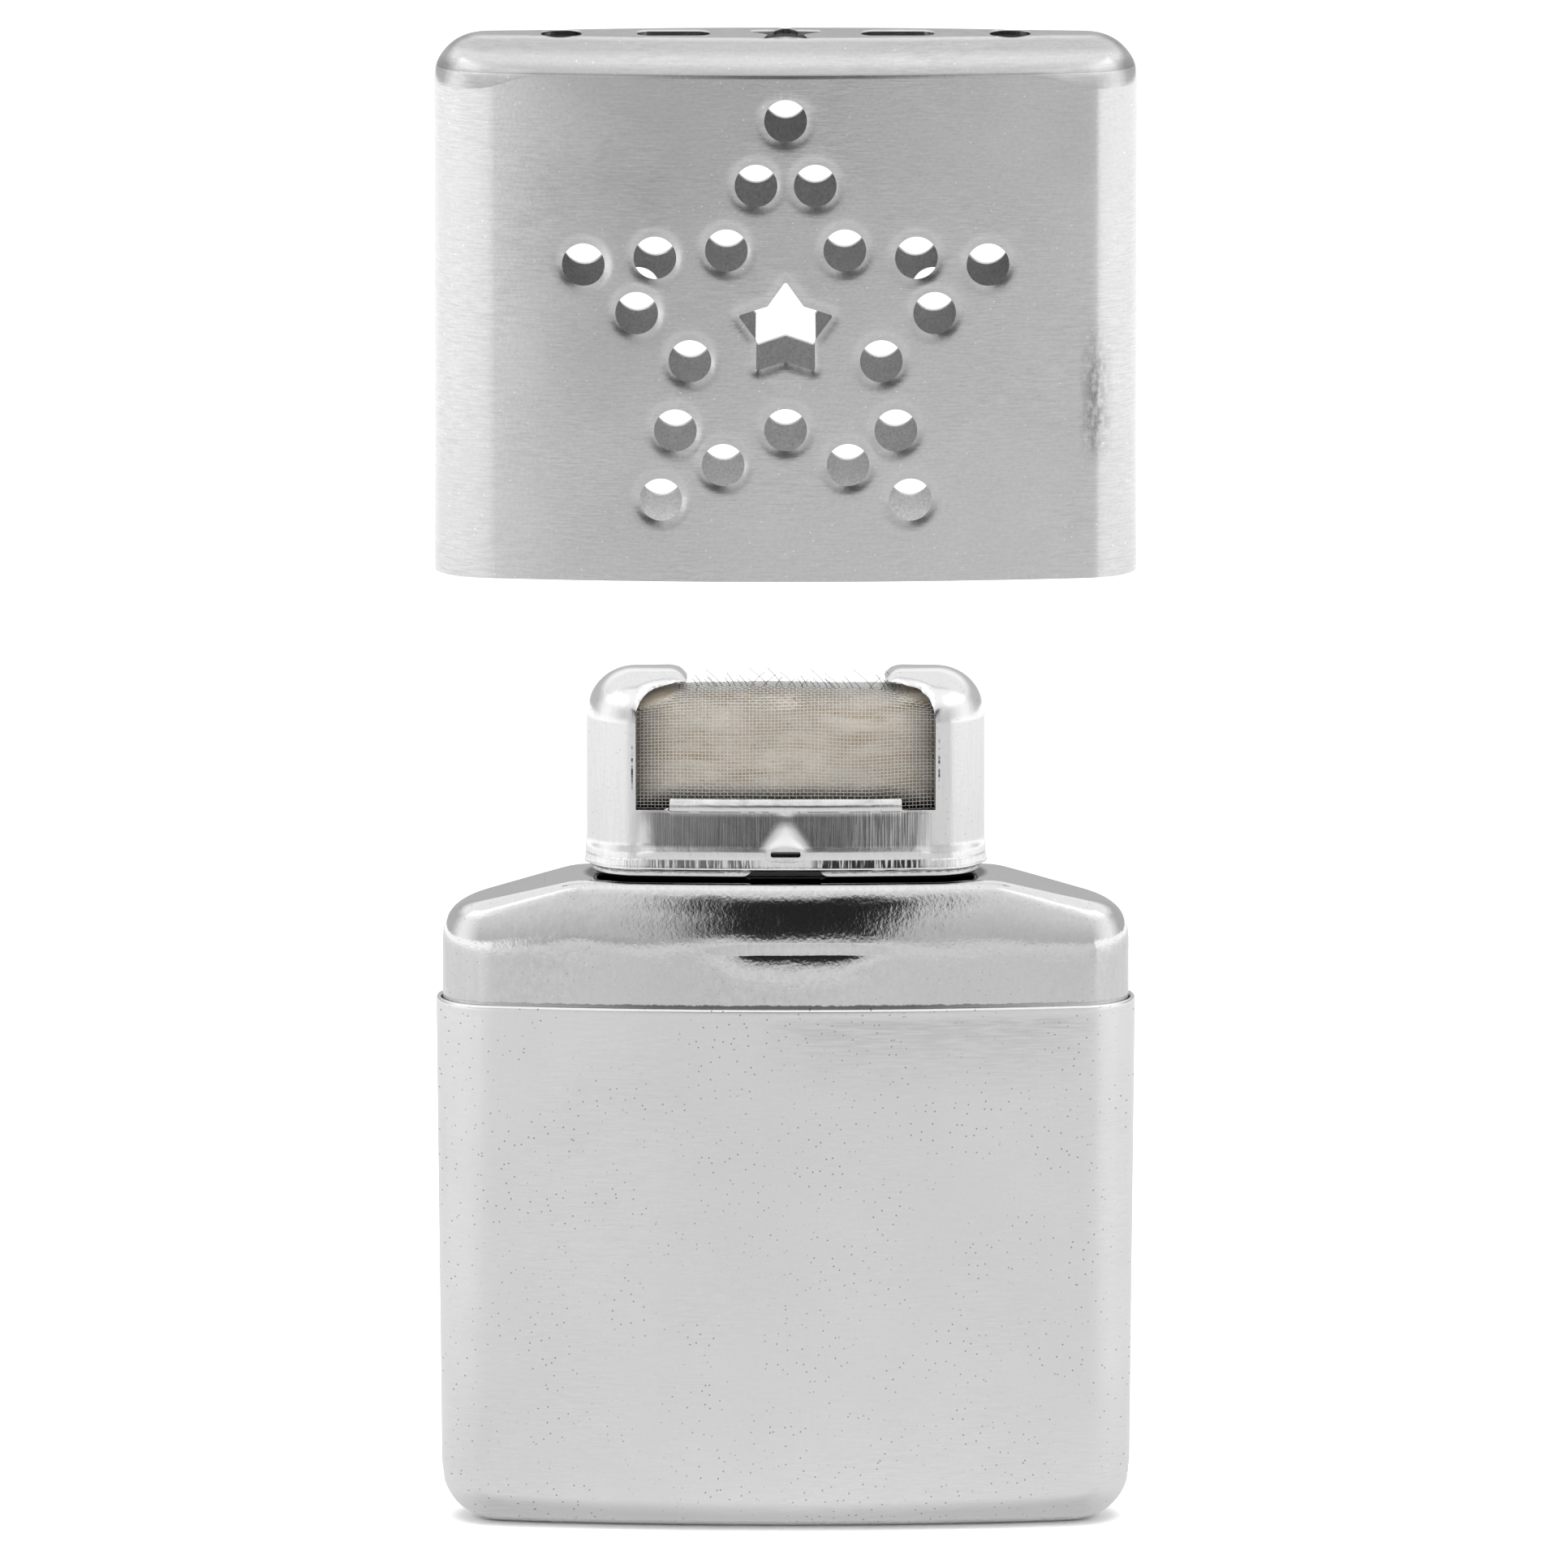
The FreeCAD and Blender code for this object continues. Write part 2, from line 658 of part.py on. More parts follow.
def make_burner_gauze():
    """Wire gauze folded over the catalyst pad, open at its two ends."""
    gauge = size("gauze_thickness")
    top_z = burner_top_z - size("gauze_drop")
    body = make_capped_oval("burner_gauze", gauze_inset, gauze_z, top_z, size("gauze_fillet"))
    hollow_out(body, "gauze_hollow", body.Tip, gauge, at_height(gauze_z))
    trim = new_sketch(body, "gauze_trim", "XZ_Plane")
    half_strip = size("gauze_width") / 2
    reach = half_strip + BURNER_OVAL[0]
    draw_rectangle(trim, half_strip, reach, gauze_z - gauge, burner_top_z)
    end_cut = cut_through(body, "gauze_trim_cut", trim)
    mirror(body, "gauze_trim_cuts", [end_cut], "YZ_Plane")
    return body


def make_catalyst_pad():
    """Block of glass wool that carries the catalyst, under the gauze."""
    clear = size("gauze_thickness") + size("pad_gap")
    top_z = burner_top_z - size("gauze_drop") - clear
    return make_capped_oval("catalyst_pad", gauze_inset + clear, gauze_z, top_z,
                            size("gauze_fillet") - clear)


# ---------------------------------------------------------------- build, check and write the parts

nodes = [
    make_cover_shell(),
    make_tank_lower_shell(),
    make_tank_shoulder_shell(),
    *make_cotton(),
    make_neck_felt(),
    make_burner_frame(),
    make_burner_inner_sleeve(),
    make_pad_support(),
    make_burner_gauze(),
    make_catalyst_pad(),
]
doc.recompute()

for thing in doc.Objects:
    if "Invalid" in thing.State or "Error" in thing.State:
        raise RuntimeError(f"{thing.Name} did not compute: {thing.State}")
for node in nodes:
    shape = node.Shape
    if shape.isNull() or not shape.isValid() or len(shape.Solids) != 1:
        raise RuntimeError(f"{node.Label} is not one valid solid")

os.makedirs("parts", exist_ok=True)
for node in nodes:
    node.Shape.exportStep(f"parts/{node.Label}.step")
    print(node.Label, round(node.Shape.Volume, 1), "mm3")
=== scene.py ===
import math

import bpy
import numpy as np
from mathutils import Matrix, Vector, noise
from mathutils.geometry import delaunay_2d_cdt


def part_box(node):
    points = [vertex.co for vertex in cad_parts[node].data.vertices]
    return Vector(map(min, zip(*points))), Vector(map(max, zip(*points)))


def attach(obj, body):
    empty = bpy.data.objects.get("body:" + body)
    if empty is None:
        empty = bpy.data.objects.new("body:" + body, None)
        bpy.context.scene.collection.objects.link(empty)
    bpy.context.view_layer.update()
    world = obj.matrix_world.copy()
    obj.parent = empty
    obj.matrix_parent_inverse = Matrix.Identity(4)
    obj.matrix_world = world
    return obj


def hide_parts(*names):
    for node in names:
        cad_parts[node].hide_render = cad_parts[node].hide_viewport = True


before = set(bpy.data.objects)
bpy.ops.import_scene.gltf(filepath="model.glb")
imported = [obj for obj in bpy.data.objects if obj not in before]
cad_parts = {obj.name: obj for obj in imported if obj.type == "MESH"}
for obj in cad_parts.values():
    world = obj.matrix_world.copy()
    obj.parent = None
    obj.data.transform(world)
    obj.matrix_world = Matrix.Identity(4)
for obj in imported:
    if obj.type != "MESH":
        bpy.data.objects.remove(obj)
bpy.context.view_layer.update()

# Looks of a flat oval catalytic hand warmer. Shapes are worked out in millimetres and stored in
# metres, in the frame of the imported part: +Z up, the front faces -Y.

MM = 0.001
METRE = 1 / MM


def node_box(name):
    """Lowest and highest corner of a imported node, in millimetres."""
    low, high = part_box(name)
    return np.array(low) / MM, np.array(high) / MM


def levels(name):
    """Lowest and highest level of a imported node."""
    return [corner[2] for corner in node_box(name)]


# ---------------------------------------------------------------- sizes, in millimetres

_, SEAM = levels("tank_lower_shell")
SKIRT_FOOT, NECK_TOP = levels("tank_shoulder_shell")
COLLAR, BURNER_TOP = levels("burner_frame")
SLEEVE_FOOT, SLEEVE_TOP = levels("burner_inner_sleeve")
GAUZE_FOOT, GAUZE_TOP = levels("burner_gauze")
RIM, COVER_TOP = levels("cover_shell")
BODY_REACH, BODY_DEPTH = node_box("tank_lower_shell")[1][:2]

BODY_END = 5.3
TANK_WALL, TANK_ROUND, TANK_END_ROUND, TANK_DRAFT = 0.5, 3.6, 1.5, math.tan(math.radians(0.5))
BURNER_REACH, BURNER_DEPTH, BURNER_END = 18.75, 5.25, 4.7

SHOULDER_WALL = 0.44
NECK_INSET, NECK_ROUND = 1.05, 0.45
PLATEAU = NECK_TOP - 5.2
PLATEAU_END = BURNER_REACH - NECK_INSET + 2.2
ROOF_ANGLE, ROOF_BEND = math.radians(14.2), 8.0
CREASE_X, CREASE_Z, CREASE_HALF, CREASE_DEPTH = 1.4, 56.0, 6.5, 0.25

FRAME_SHEET, FRAME_CROWN = 0.4, 4.5
WINDOW, TAB, TAB_HEIGHT, SILL = 14.1, 10.9, 1.15, COLLAR + 5.6
LIP_GAP, LIP_ROOT, LIP_TIP, LIP_CURL, LIP_DROOP = 9.3, 4.7, 2.1, 0.42, 0.45
SLEEVE_INSET, SLEEVE_WALL, SLEEVE_HEM = 0.45, 0.45, 0.2
GAUZE_INSET, GAUZE_HALF, GAUZE_TURN, WIRE, PITCH = 0.8, 15.2, 3.6, 0.056, 0.34
STRAYS, STRAY_THICK = 40, 0.045

COVER_WALL = 0.45
CROWN_REACH, CROWN_RISE, CROWN_LIFT = 4.5, 4.5, 1.5
VENT_RADIUS = 2.0
PATTERN_Z, PATTERN_TIP, PATTERN_WAIST = COVER_TOP - 27.1, 19.9, 9.42
STAR_ARMS, STAR_TIP, STAR_WAIST = 5, 4.7, 2.87
TOP_PITCH, TOP_RADIUS, TOP_STAR_TIP, TOP_STAR_WAIST = 10.5, 1.9, 3.6, 1.75
SLOT_LENGTH, SLOT_WIDTH, SLOT_ROUND = 6.8, 2.6, 1.25
VENT_RINGS, TOP_RINGS = (0.10, 0.22, 0.38, 0.58, 0.82, 1.10), (0.12, 0.26, 0.45)

RING_METRES = 1.6


# ---------------------------------------------------------------- plane shapes


class Oval:
    """Outline of two end arcs and two flat face arcs, walked from +X through +Y."""

    def __init__(self, reach, depth, end):
        self.reach, self.depth, self.end = reach, depth, end
        self.centre = reach - end
        self.face = (self.centre**2 + depth**2 - end**2) / (2 * (depth - end))
        self.drop = self.face - depth
        self.turn = math.atan2(self.drop, self.centre)
        half_end, face_run = self.turn * end, (math.pi - 2 * self.turn) * self.face
        self.stops = np.cumsum([0, half_end, face_run, 2 * half_end, face_run, half_end])
        self.length = self.stops[-1]
        self.arcs = np.array([
            (self.centre, 0, end, 0),
            (0, -self.drop, self.face, self.turn),
            (-self.centre, 0, end, math.pi - self.turn),
            (0, self.drop, self.face, math.pi + self.turn),
            (self.centre, 0, end, 2 * math.pi - self.turn),
        ])

    def inset(self, distance):
        return Oval(self.reach - distance, self.depth - distance, self.end - distance)

    def walk(self, step):
        """Distances along the outline, about a step apart, with a point at each joint of two arcs."""
        spans = zip(self.stops[:-1], self.stops[1:])
        return np.concatenate([
            np.linspace(a, b, max(2, math.ceil((b - a) / step)), endpoint=False) for a, b in spans
        ])

    def at(self, along, inset=0.0):
        """Points at distances along the outline, moved in by an inset."""
        along = np.asarray(along, float) % self.length
        index = np.clip(np.searchsorted(self.stops, along, side="right") - 1, 0, 4)
        x, y, radius, start = self.arcs[index].T
        angle = start + (along - self.stops[index]) / radius
        reach = radius - inset
        return np.stack([x + reach * np.cos(angle), y + reach * np.sin(angle)], -1)

    def depth_inside(self, points):
        """How far in from the outline points lie."""
        x, y = points.T
        lift = np.abs(y) + self.drop
        angle = np.arctan2(lift, x)
        on_face = (angle >= self.turn) & (angle <= math.pi - self.turn)
        from_end = self.end - np.hypot(np.abs(x) - self.centre, y)
        return np.where(on_face, self.face - np.hypot(x, lift), from_end)


BODY = Oval(BODY_REACH, BODY_DEPTH, BODY_END)
SHOULDER = BODY.inset(0.6)
BURNER = Oval(BURNER_REACH, BURNER_DEPTH, BURNER_END)
NECK = BURNER.inset(NECK_INSET)


def grid(xs, ys):
    return np.stack(np.meshgrid(xs, ys), -1).reshape(-1, 2)


def ring_of(radius, count=56):
    turn = np.linspace(0, 2 * math.pi, count, endpoint=False)
    return radius * np.stack([np.cos(turn), np.sin(turn)], -1)


def rounded_loop(corners, radius, arc_points=6, step=0.3):
    """Closed outline through corners, each rounded, with points about a step apart between them."""
    corners = np.array(corners, float)
    arcs = []
    for before, corner, after in zip(np.roll(corners, 1, 0), corners, np.roll(corners, -1, 0)):
        back, on = ((end - corner) / np.linalg.norm(end - corner) for end in (before, after))
        half = math.acos(np.clip(back @ on, -1, 1)) / 2
        middle = corner + (back + on) / np.linalg.norm(back + on) * radius / math.sin(half)
        touching = (corner + way * radius / math.tan(half) - middle for way in (back, on))
        first, last = (math.atan2(y, x) for x, y in touching)
        turn = first + ((last - first + math.pi) % (2 * math.pi) - math.pi) * np.linspace(0, 1, arc_points)
        arcs.append(middle + radius * np.stack([np.cos(turn), np.sin(turn)], -1))
    points = []
    for arc, following in zip(arcs, [*arcs[1:], arcs[0]]):
        gap = following[0] - arc[-1]
        pieces = max(1, round(np.linalg.norm(gap) / step))
        points += [*arc, *(arc[-1] + gap * k / pieces for k in range(1, pieces))]
    return np.array(points)


def box_loop(half_width, low, high, radius, arc_points=6, step=0.3):
    """Upright rounded rectangle that is centred on x = 0."""
    corners = [(-half_width, low), (half_width, low), (half_width, high), (-half_width, high)]
    return rounded_loop(corners, radius, arc_points, step)


def star_loop(tip, waist, rounding=0.2):
    turns = math.pi / 2 + np.arange(2 * STAR_ARMS) * math.pi / STAR_ARMS
    reach = np.tile([tip, waist], STAR_ARMS)
    return rounded_loop(np.stack([reach * np.cos(turns), reach * np.sin(turns)], -1), rounding)


def inside_loop(points, loop):
    """Whether each point lies inside a closed outline."""
    x, y = points[:, 0][:, None], points[:, 1][:, None]
    x0, y0 = loop.T
    x1, y1 = np.roll(loop, -1, axis=0).T
    level = np.where(y1 == y0, 1e-12, y1 - y0)
    crosses = ((y0 > y) != (y1 > y)) & (x < (x1 - x0) * (y - y0) / level + x0)
    return crosses.sum(1) % 2 == 1


def distance_to_loop(points, loop):
    a, b, p = loop[None], np.roll(loop, -1, axis=0)[None], points[:, None]
    along = np.clip(((p - a) * (b - a)).sum(-1) / ((b - a) ** 2).sum(-1), 0, 1)
    return np.linalg.norm(p - a - along[..., None] * (b - a), axis=-1).min(1)


def signed_distance(points, loop):
    """Distance to a closed outline, negative inside it."""
    distance = distance_to_loop(points, loop)
    return np.where(inside_loop(points, loop), -distance, distance)


def near(points, loop, margin):
    """Indices of the points in the loop's box, widened by a margin."""
    low, high = loop.min(0) - margin, loop.max(0) + margin
    return np.flatnonzero(((points > low) & (points < high)).all(1))


def box_distance(x, z, half_width, low, high):
    """Distance outside an upright rectangle that is centred on x = 0, negative inside it."""
    return np.maximum(np.abs(x) - half_width, np.maximum(low - z, z - high))


# ---------------------------------------------------------------- meshes


def thin(points, gap):
    """Whether to keep each point so that no two kept ones are closer than the gap."""
    cells, kept = {}, np.zeros(len(points), bool)
    for i, (a, b) in enumerate(np.floor(points / gap).astype(int)):
        around = [cells.get((a + da, b + db)) for da in (-1, 0, 1) for db in (-1, 0, 1)]
        if all(j is None or np.hypot(*(points[i] - points[j])) >= gap for j in around):
            cells[a, b] = i
            kept[i] = True
    return kept


def rings_round(loop, margins, ceiling):
    """Rings of points outside a loop, one at each margin, below the ceiling."""
    along = np.roll(loop, -1, axis=0) - np.roll(loop, 1, axis=0)
    outward = np.stack([along[:, 1], -along[:, 0]], -1) / np.linalg.norm(along, axis=1)[:, None]
    if inside_loop((loop + 1e-3 * outward)[:1], loop)[0]:
        outward = -outward
    for margin in margins:
        ring = loop + outward * margin
        yield ring[(distance_to_loop(ring, loop) > margin * 0.97) & (ring[:, 1] < ceiling)]


def fill(points, rim, loops=(), margins=(0.1,), gap=0.06, ceiling=np.inf):
    """Triangles over points in a plane, inside the rim and open inside each loop.

    Rings of points at the margins keep the triangles round a loop even. Above the ceiling the points
    stay in rows."""
    reach = margins[-1] + margins[0]
    for loop in loops:
        close = near(points, loop, reach)
        close = close[points[close, 1] < ceiling]
        points = np.delete(points, close[signed_distance(points[close], loop) < reach], 0)
    rings = [ring for loop in loops for ring in rings_round(loop, margins, ceiling)]
    points = np.concatenate([*rings, points])
    for loop in loops:
        close = near(points, loop, margins[0])
        points = np.delete(points, close[signed_distance(points[close], loop) < margins[0] * 0.9], 0)
    points = points[thin(points, gap)]
    points = points[inside_loop(points, rim)]
    points = points[distance_to_loop(points, rim) > gap]
    edges, total = [], len(points)
    for border in (*loops, rim):
        edges += [(total + i, total + (i + 1) % len(border)) for i in range(len(border))]
        total += len(border)
    points = np.concatenate([points, *loops, rim])
    made, _, faces, origins, *_ = delaunay_2d_cdt([Vector(p) for p in points], edges, [], 0, 1e-7)
    flat = np.array([points[o[0]] if o else tuple(v) for v, o in zip(made, origins)])
    faces = np.array([f for f in faces if len(f) == 3])
    corners = flat[faces]
    side, other = corners[:, 1] - corners[:, 0], corners[:, 2] - corners[:, 0]
    middles = corners.mean(1)
    keep = np.abs(side[:, 0] * other[:, 1] - side[:, 1] * other[:, 0]) > 1e-7
    keep &= inside_loop(middles, rim)
    for loop in loops:
        close = near(middles, loop, 0.01)
        keep[close] &= ~inside_loop(middles[close], loop)
    return flat, faces[keep]


def sheet(walk, rows, loops, margins, gap=0.06, ceiling=np.inf):
    """Triangles over a rectangle of distances along an outline and heights.

    Where an opening comes near the ceiling, the rows above it get more points."""
    spots = [grid(walk[1:-1], rows[1:-1])]
    for loop in loops:
        if loop[:, 1].max() > ceiling - 0.2:
            spots.append(grid(loop[:, 0].mean() + np.arange(-2.1, 2.2, 0.3), rows[:-1][rows[:-1] > ceiling]))
    rim = [(s, rows[0]) for s in walk] + [(walk[-1], z) for z in rows[1:]]
    rim += [(s, rows[-1]) for s in walk[-2::-1]] + [(walk[0], z) for z in rows[-2:0:-1]]
    return fill(np.concatenate(spots), np.array(rim), loops, margins, gap, ceiling)


def plate(spots, rim, z):
    """Level triangles inside a rim."""
    flat, faces = fill(spots, rim)
    return np.column_stack([flat, np.full(len(flat), z)]), faces


def grid_faces(rows, columns, closed=True):
    """Quads between rows of points, each row running right round where closed."""
    i, j = np.meshgrid(np.arange(rows - 1), np.arange(columns if closed else columns - 1), indexing="ij")
    low, k = i * columns, (j + 1) % columns
    return np.stack([low + j, low + k, low + columns + k, low + columns + j], -1).reshape(-1, 4)


def sweep(oval, profile, step):
    """Rows of an oval swept through a profile of inset and height."""
    walk = oval.walk(step)
    rows = [np.column_stack([oval.at(walk, inset), np.full(len(walk), z)]) for inset, z in profile]
    return np.concatenate(rows), grid_faces(len(profile), len(walk)), len(walk)


def whole(faces):
    """The triangles whose corners all differ."""
    return faces[(faces != np.roll(faces, 1, axis=1)).all(1)]


def join(*parts):
    """Joins (points, faces) pairs as triangles and welds points that coincide."""
    points, faces, start = [], [], 0
    for spots, sides in parts:
        if sides.shape[1] == 4:
            sides = np.concatenate([sides[:, [0, 1, 2]], sides[:, [0, 2, 3]]])
        points.append(spots)
        faces.append(sides + start)
        start += len(spots)
    points = np.concatenate(points)
    _, first, index = np.unique(np.round(points, 4), axis=0, return_index=True, return_inverse=True)
    return points[first], whole(index.reshape(-1)[np.concatenate(faces)])


def edges_of(faces):
    return np.concatenate([faces[:, [0, 1]], faces[:, [1, 2]], faces[:, [2, 0]]])


def clip(points, faces, field):
    """Keeps the part of a mesh where a field of distances is positive, cut along its zero line."""
    values = np.where(np.abs(field) < 1e-4, 1e-4, field)
    inside = values[faces] > 0
    points, made, extra = list(points), {}, []

    def crossing(a, b):
        key = (min(a, b), max(a, b))
        if key not in made:
            made[key] = len(points)
            points.append(points[a] + (points[b] - points[a]) * values[a] / (values[a] - values[b]))
        return made[key]

    for face in faces[inside.any(1) & ~inside.all(1)]:
        kept = values[face] > 0
        odd = int(np.flatnonzero(kept == (kept.sum() == 1))[0])
        a, b, c = np.roll(face, -odd)
        ab, ac = crossing(a, b), crossing(a, c)
        extra += [(a, ab, ac)] if values[a] > 0 else [(ab, b, c), (ab, c, ac)]
    return weld_short(np.array(points), np.concatenate([faces[inside.all(1)], np.array(extra)]), 0.05)


def weld_short(points, faces, gap):
    """Joins the two ends of each edge that is shorter than the gap."""
    goal, taken = np.arange(len(points)), set()
    for a, b in np.unique(np.sort(edges_of(faces)), axis=0):
        if np.linalg.norm(points[a] - points[b]) < gap and not {a, b} & taken:
            goal[b] = a
            taken |= {a, b}
    used, index = np.unique(whole(goal[faces]), return_inverse=True)
    return points[used], index.reshape(-1, 3)


def face_normals(points, faces):
    """Normal and middle of each triangle; the normal is as long as twice its area."""
    a, b, c = (points[faces[:, k]] for k in range(3))
    return np.cross(b - a, c - a), (a + b + c) / 3


def vertex_normals(points, faces):
    flat, _ = face_normals(points, faces)
    normals = np.zeros_like(points)
    for k in range(3):
        np.add.at(normals, faces[:, k], flat)
    return normals / np.maximum(np.linalg.norm(normals, axis=1), 1e-12)[:, None]


def turned(faces, wrong):
    """Triangles with the wrong ones turned over."""
    return np.where(wrong[:, None], faces[:, ::-1], faces)


def thicken(points, faces, wall):
    """Closed shell from an outer skin and a wall of even thickness behind it, and which faces are inside."""
    count = len(points)
    inner = points - wall * vertex_normals(points, faces)
    pairs = edges_of(faces)
    edge = pairs[~np.isin(pairs[:, 0] * count + pairs[:, 1], pairs[:, 1] * count + pairs[:, 0])]
    sides = np.stack([edge[:, 1], edge[:, 0], edge[:, 0] + count, edge[:, 1] + count], -1)
    lined = range(len(faces), 2 * len(faces))
    return np.concatenate([points, inner]), [*faces, *(faces[:, ::-1] + count), *sides], lined


def link(name, data):
    """Object of the scene that shows a mesh, lamp or camera."""
    made = bpy.data.objects.new(name, data)
    bpy.context.scene.collection.objects.link(made)
    return made


def add_piece(name, node, body, points, faces, material, crease, lining=None, lined=()):
    """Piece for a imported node, from points in millimetres, smooth but for edges sharper than the crease."""
    mesh = bpy.data.meshes.new(name)
    mesh.from_pydata((np.asarray(points) * MM).tolist(), [], [list(map(int, f)) for f in faces])
    mesh.validate()
    mesh.shade_smooth()
    mesh.set_sharp_from_angle(angle=math.radians(crease))
    mesh.materials.append(material)
    if lining:
        mesh.materials.append(lining)
    for index in lined:
        mesh.polygons[index].material_index = 1
    piece = link(name, mesh)
    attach(piece, body)
    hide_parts(node)
    return piece


def ripple(points, scale, seed):
    """Smooth noise in -1 to 1 at points in millimetres."""
    shift = Vector((seed * 17.3, seed * 5.1, seed * 9.7))
    return np.array([noise.noise(Vector(p) / scale + shift) for p in points])


# ---------------------------------------------------------------- materials


class Value:
    """A number, or a colour, that varies over a surface. Sums and products make nodes of its material."""

    def __init__(self, nodes, socket):
        self.nodes, self.socket = nodes, socket

    def __add__(self, other):
        return self.nodes.math("ADD", self, other)

    def __sub__(self, other):
        return self.nodes.math("SUBTRACT", self, other)

    def __rsub__(self, other):
        return self.nodes.math("SUBTRACT", other, self)

    def __mul__(self, other):
        return self.nodes.math("MULTIPLY", self, other)

    def __truediv__(self, other):
        return self.nodes.math("DIVIDE", self, other)

    def __abs__(self):
        return self.nodes.math("ABSOLUTE", self, 0.0)

    def __neg__(self):
        return self * -1.0

    def most(self, other):
        return self.nodes.math("MAXIMUM", self, other)

    def hypot(self, other):
        return self.nodes.math("SQRT", self * self + other * other, 0.0)

    def ramp(self, low, high, to_low=0.0, to_high=1.0):
        """Carries the number from one range to another, held at the ends."""
        node = self.nodes.add("ShaderNodeMapRange", clamp=True)
        for key, number in zip(("From Min", "From Max", "To Min", "To Max"), (low, high, to_low, to_high)):
            node.inputs[key].default_value = number
        return self.nodes.result(node, "Result", Value=self)

    def within(self, low, high, soft):
        """1 between two places, fading over a soft width inside them."""
        return self.ramp(low, low + soft) * self.ramp(high - soft, high, 1.0, 0.0)

    def curve(self, *stops):
        """Runs straight from stop to stop, each stop a place and its level."""
        total = stops[0][1]
        for (place, level), (following, target) in zip(stops, stops[1:]):
            total = self.ramp(place, following, 0.0, target - level) + total
        return total


def between(factor, low, high):
    """Number between two others by a factor."""
    return factor * (high - low) + low


class Nodes:
    """The nodes of one material, with the object's x, y and z in a unit of so many millimetres."""

    def __init__(self, tree, unit=1.0):
        self.tree = tree
        self.rough, self.bumps = 0.5, []
        self.place = self.result(self.add("ShaderNodeTexCoord"), "Object")
        split = self.add("ShaderNodeSeparateXYZ")
        self.feed(self.stretched((unit,) * 3), split.inputs[0])
        self.x, self.y, self.z = (Value(self, socket) for socket in split.outputs)

    def add(self, kind, **settings):
        node = self.tree.nodes.new(kind)
        for key, value in settings.items():
            setattr(node, key, value)
        return node

    def feed(self, value, socket):
        """Links a value to a socket, or sets a plain number or colour there."""
        if isinstance(value, Value):
            self.tree.links.new(value.socket, socket)
        else:
            socket.default_value = (*value, 1.0) if isinstance(value, tuple) else value

    def result(self, node, output, **inputs):
        """The output of a node whose named inputs are fed first."""
        for key, value in inputs.items():
            self.feed(value, node.inputs[key])
        return Value(self, node.outputs[output])

    def math(self, operation, a, b):
        node = self.add("ShaderNodeMath", operation=operation)
        for value, socket in zip((a, b), node.inputs):
            self.feed(value, socket)
        return Value(self, node.outputs[0])

    def stretched(self, scale, tilt=0.0):
        """Object position in units of the given lengths in mm, turned about Y by a tilt in degrees."""
        mapping = self.add("ShaderNodeMapping")
        mapping.inputs["Scale"].default_value = [1 / (s * MM) for s in scale]
        mapping.inputs["Rotation"].default_value = (0.0, math.radians(tilt), 0.0)
        return self.result(mapping, "Vector", Vector=self.place)

    def noise(self, scale, detail=3.0, roughness=0.5, tilt=0.0):
        """Noise from 0 to 1 whose cells have the given lengths in millimetres."""
        lengths = scale if isinstance(scale, tuple) else (scale,) * 3
        texture = self.add("ShaderNodeTexNoise")
        vector = self.stretched(lengths, tilt)
        return self.result(texture, "Fac", Scale=1.0, Detail=detail, Roughness=roughness, Vector=vector)

    def dots(self, pitch, size):
        """1 in small scattered dots, round as seen along Y, and 0 elsewhere."""
        flat = self.result(self.add("ShaderNodeCombineXYZ"), "Vector", X=self.x / pitch, Y=self.z / pitch)
        cells = self.add("ShaderNodeTexVoronoi", voronoi_dimensions="2D")
        return self.result(cells, "Distance", Scale=1.0, Vector=flat).ramp(size * 0.4, size, 1.0, 0.0)

    def blend(self, factor, low, high):
        """Colour between two colours by a factor."""
        node = self.add("ShaderNodeMix", data_type="RGBA")
        self.feed(factor, node.inputs["Factor"])
        for value, socket in zip((low, high), (s for s in node.inputs if s.type == "RGBA")):
            self.feed(value, socket)
        return Value(self, next(s for s in node.outputs if s.type == "RGBA"))

    def finish(self, shader, colour, roughness, **numbers):
        """Feeds the shader, with the bumps: each a height with its depth in millimetres and its strength."""
        self.feed(colour, shader.inputs["Base Color"])
        self.feed(roughness, shader.inputs["Roughness"])
        for key, number in numbers.items():
            shader.inputs[key.replace("_", " ")].default_value = number
        normal = None
        for height, depth, strength in self.bumps:
            node = self.add("ShaderNodeBump")
            if normal:
                self.feed(normal, node.inputs["Normal"])
            normal = self.result(node, "Normal", Distance=depth * MM, Strength=strength, Height=height)
        if normal:
            self.feed(normal, shader.inputs["Normal"])


def new_material(name):
    material = bpy.data.materials.new(name)
    material.use_nodes = True
    shader = next(n for n in material.node_tree.nodes if n.type == "BSDF_PRINCIPLED")
    return material, Nodes(material.node_tree), shader


def grey(level):
    return (level, level, level)


DARK_DOTS, GLINT_DOTS = (1.25, 0.085, grey(0.12)), (2.4, 0.045, grey(1.0))


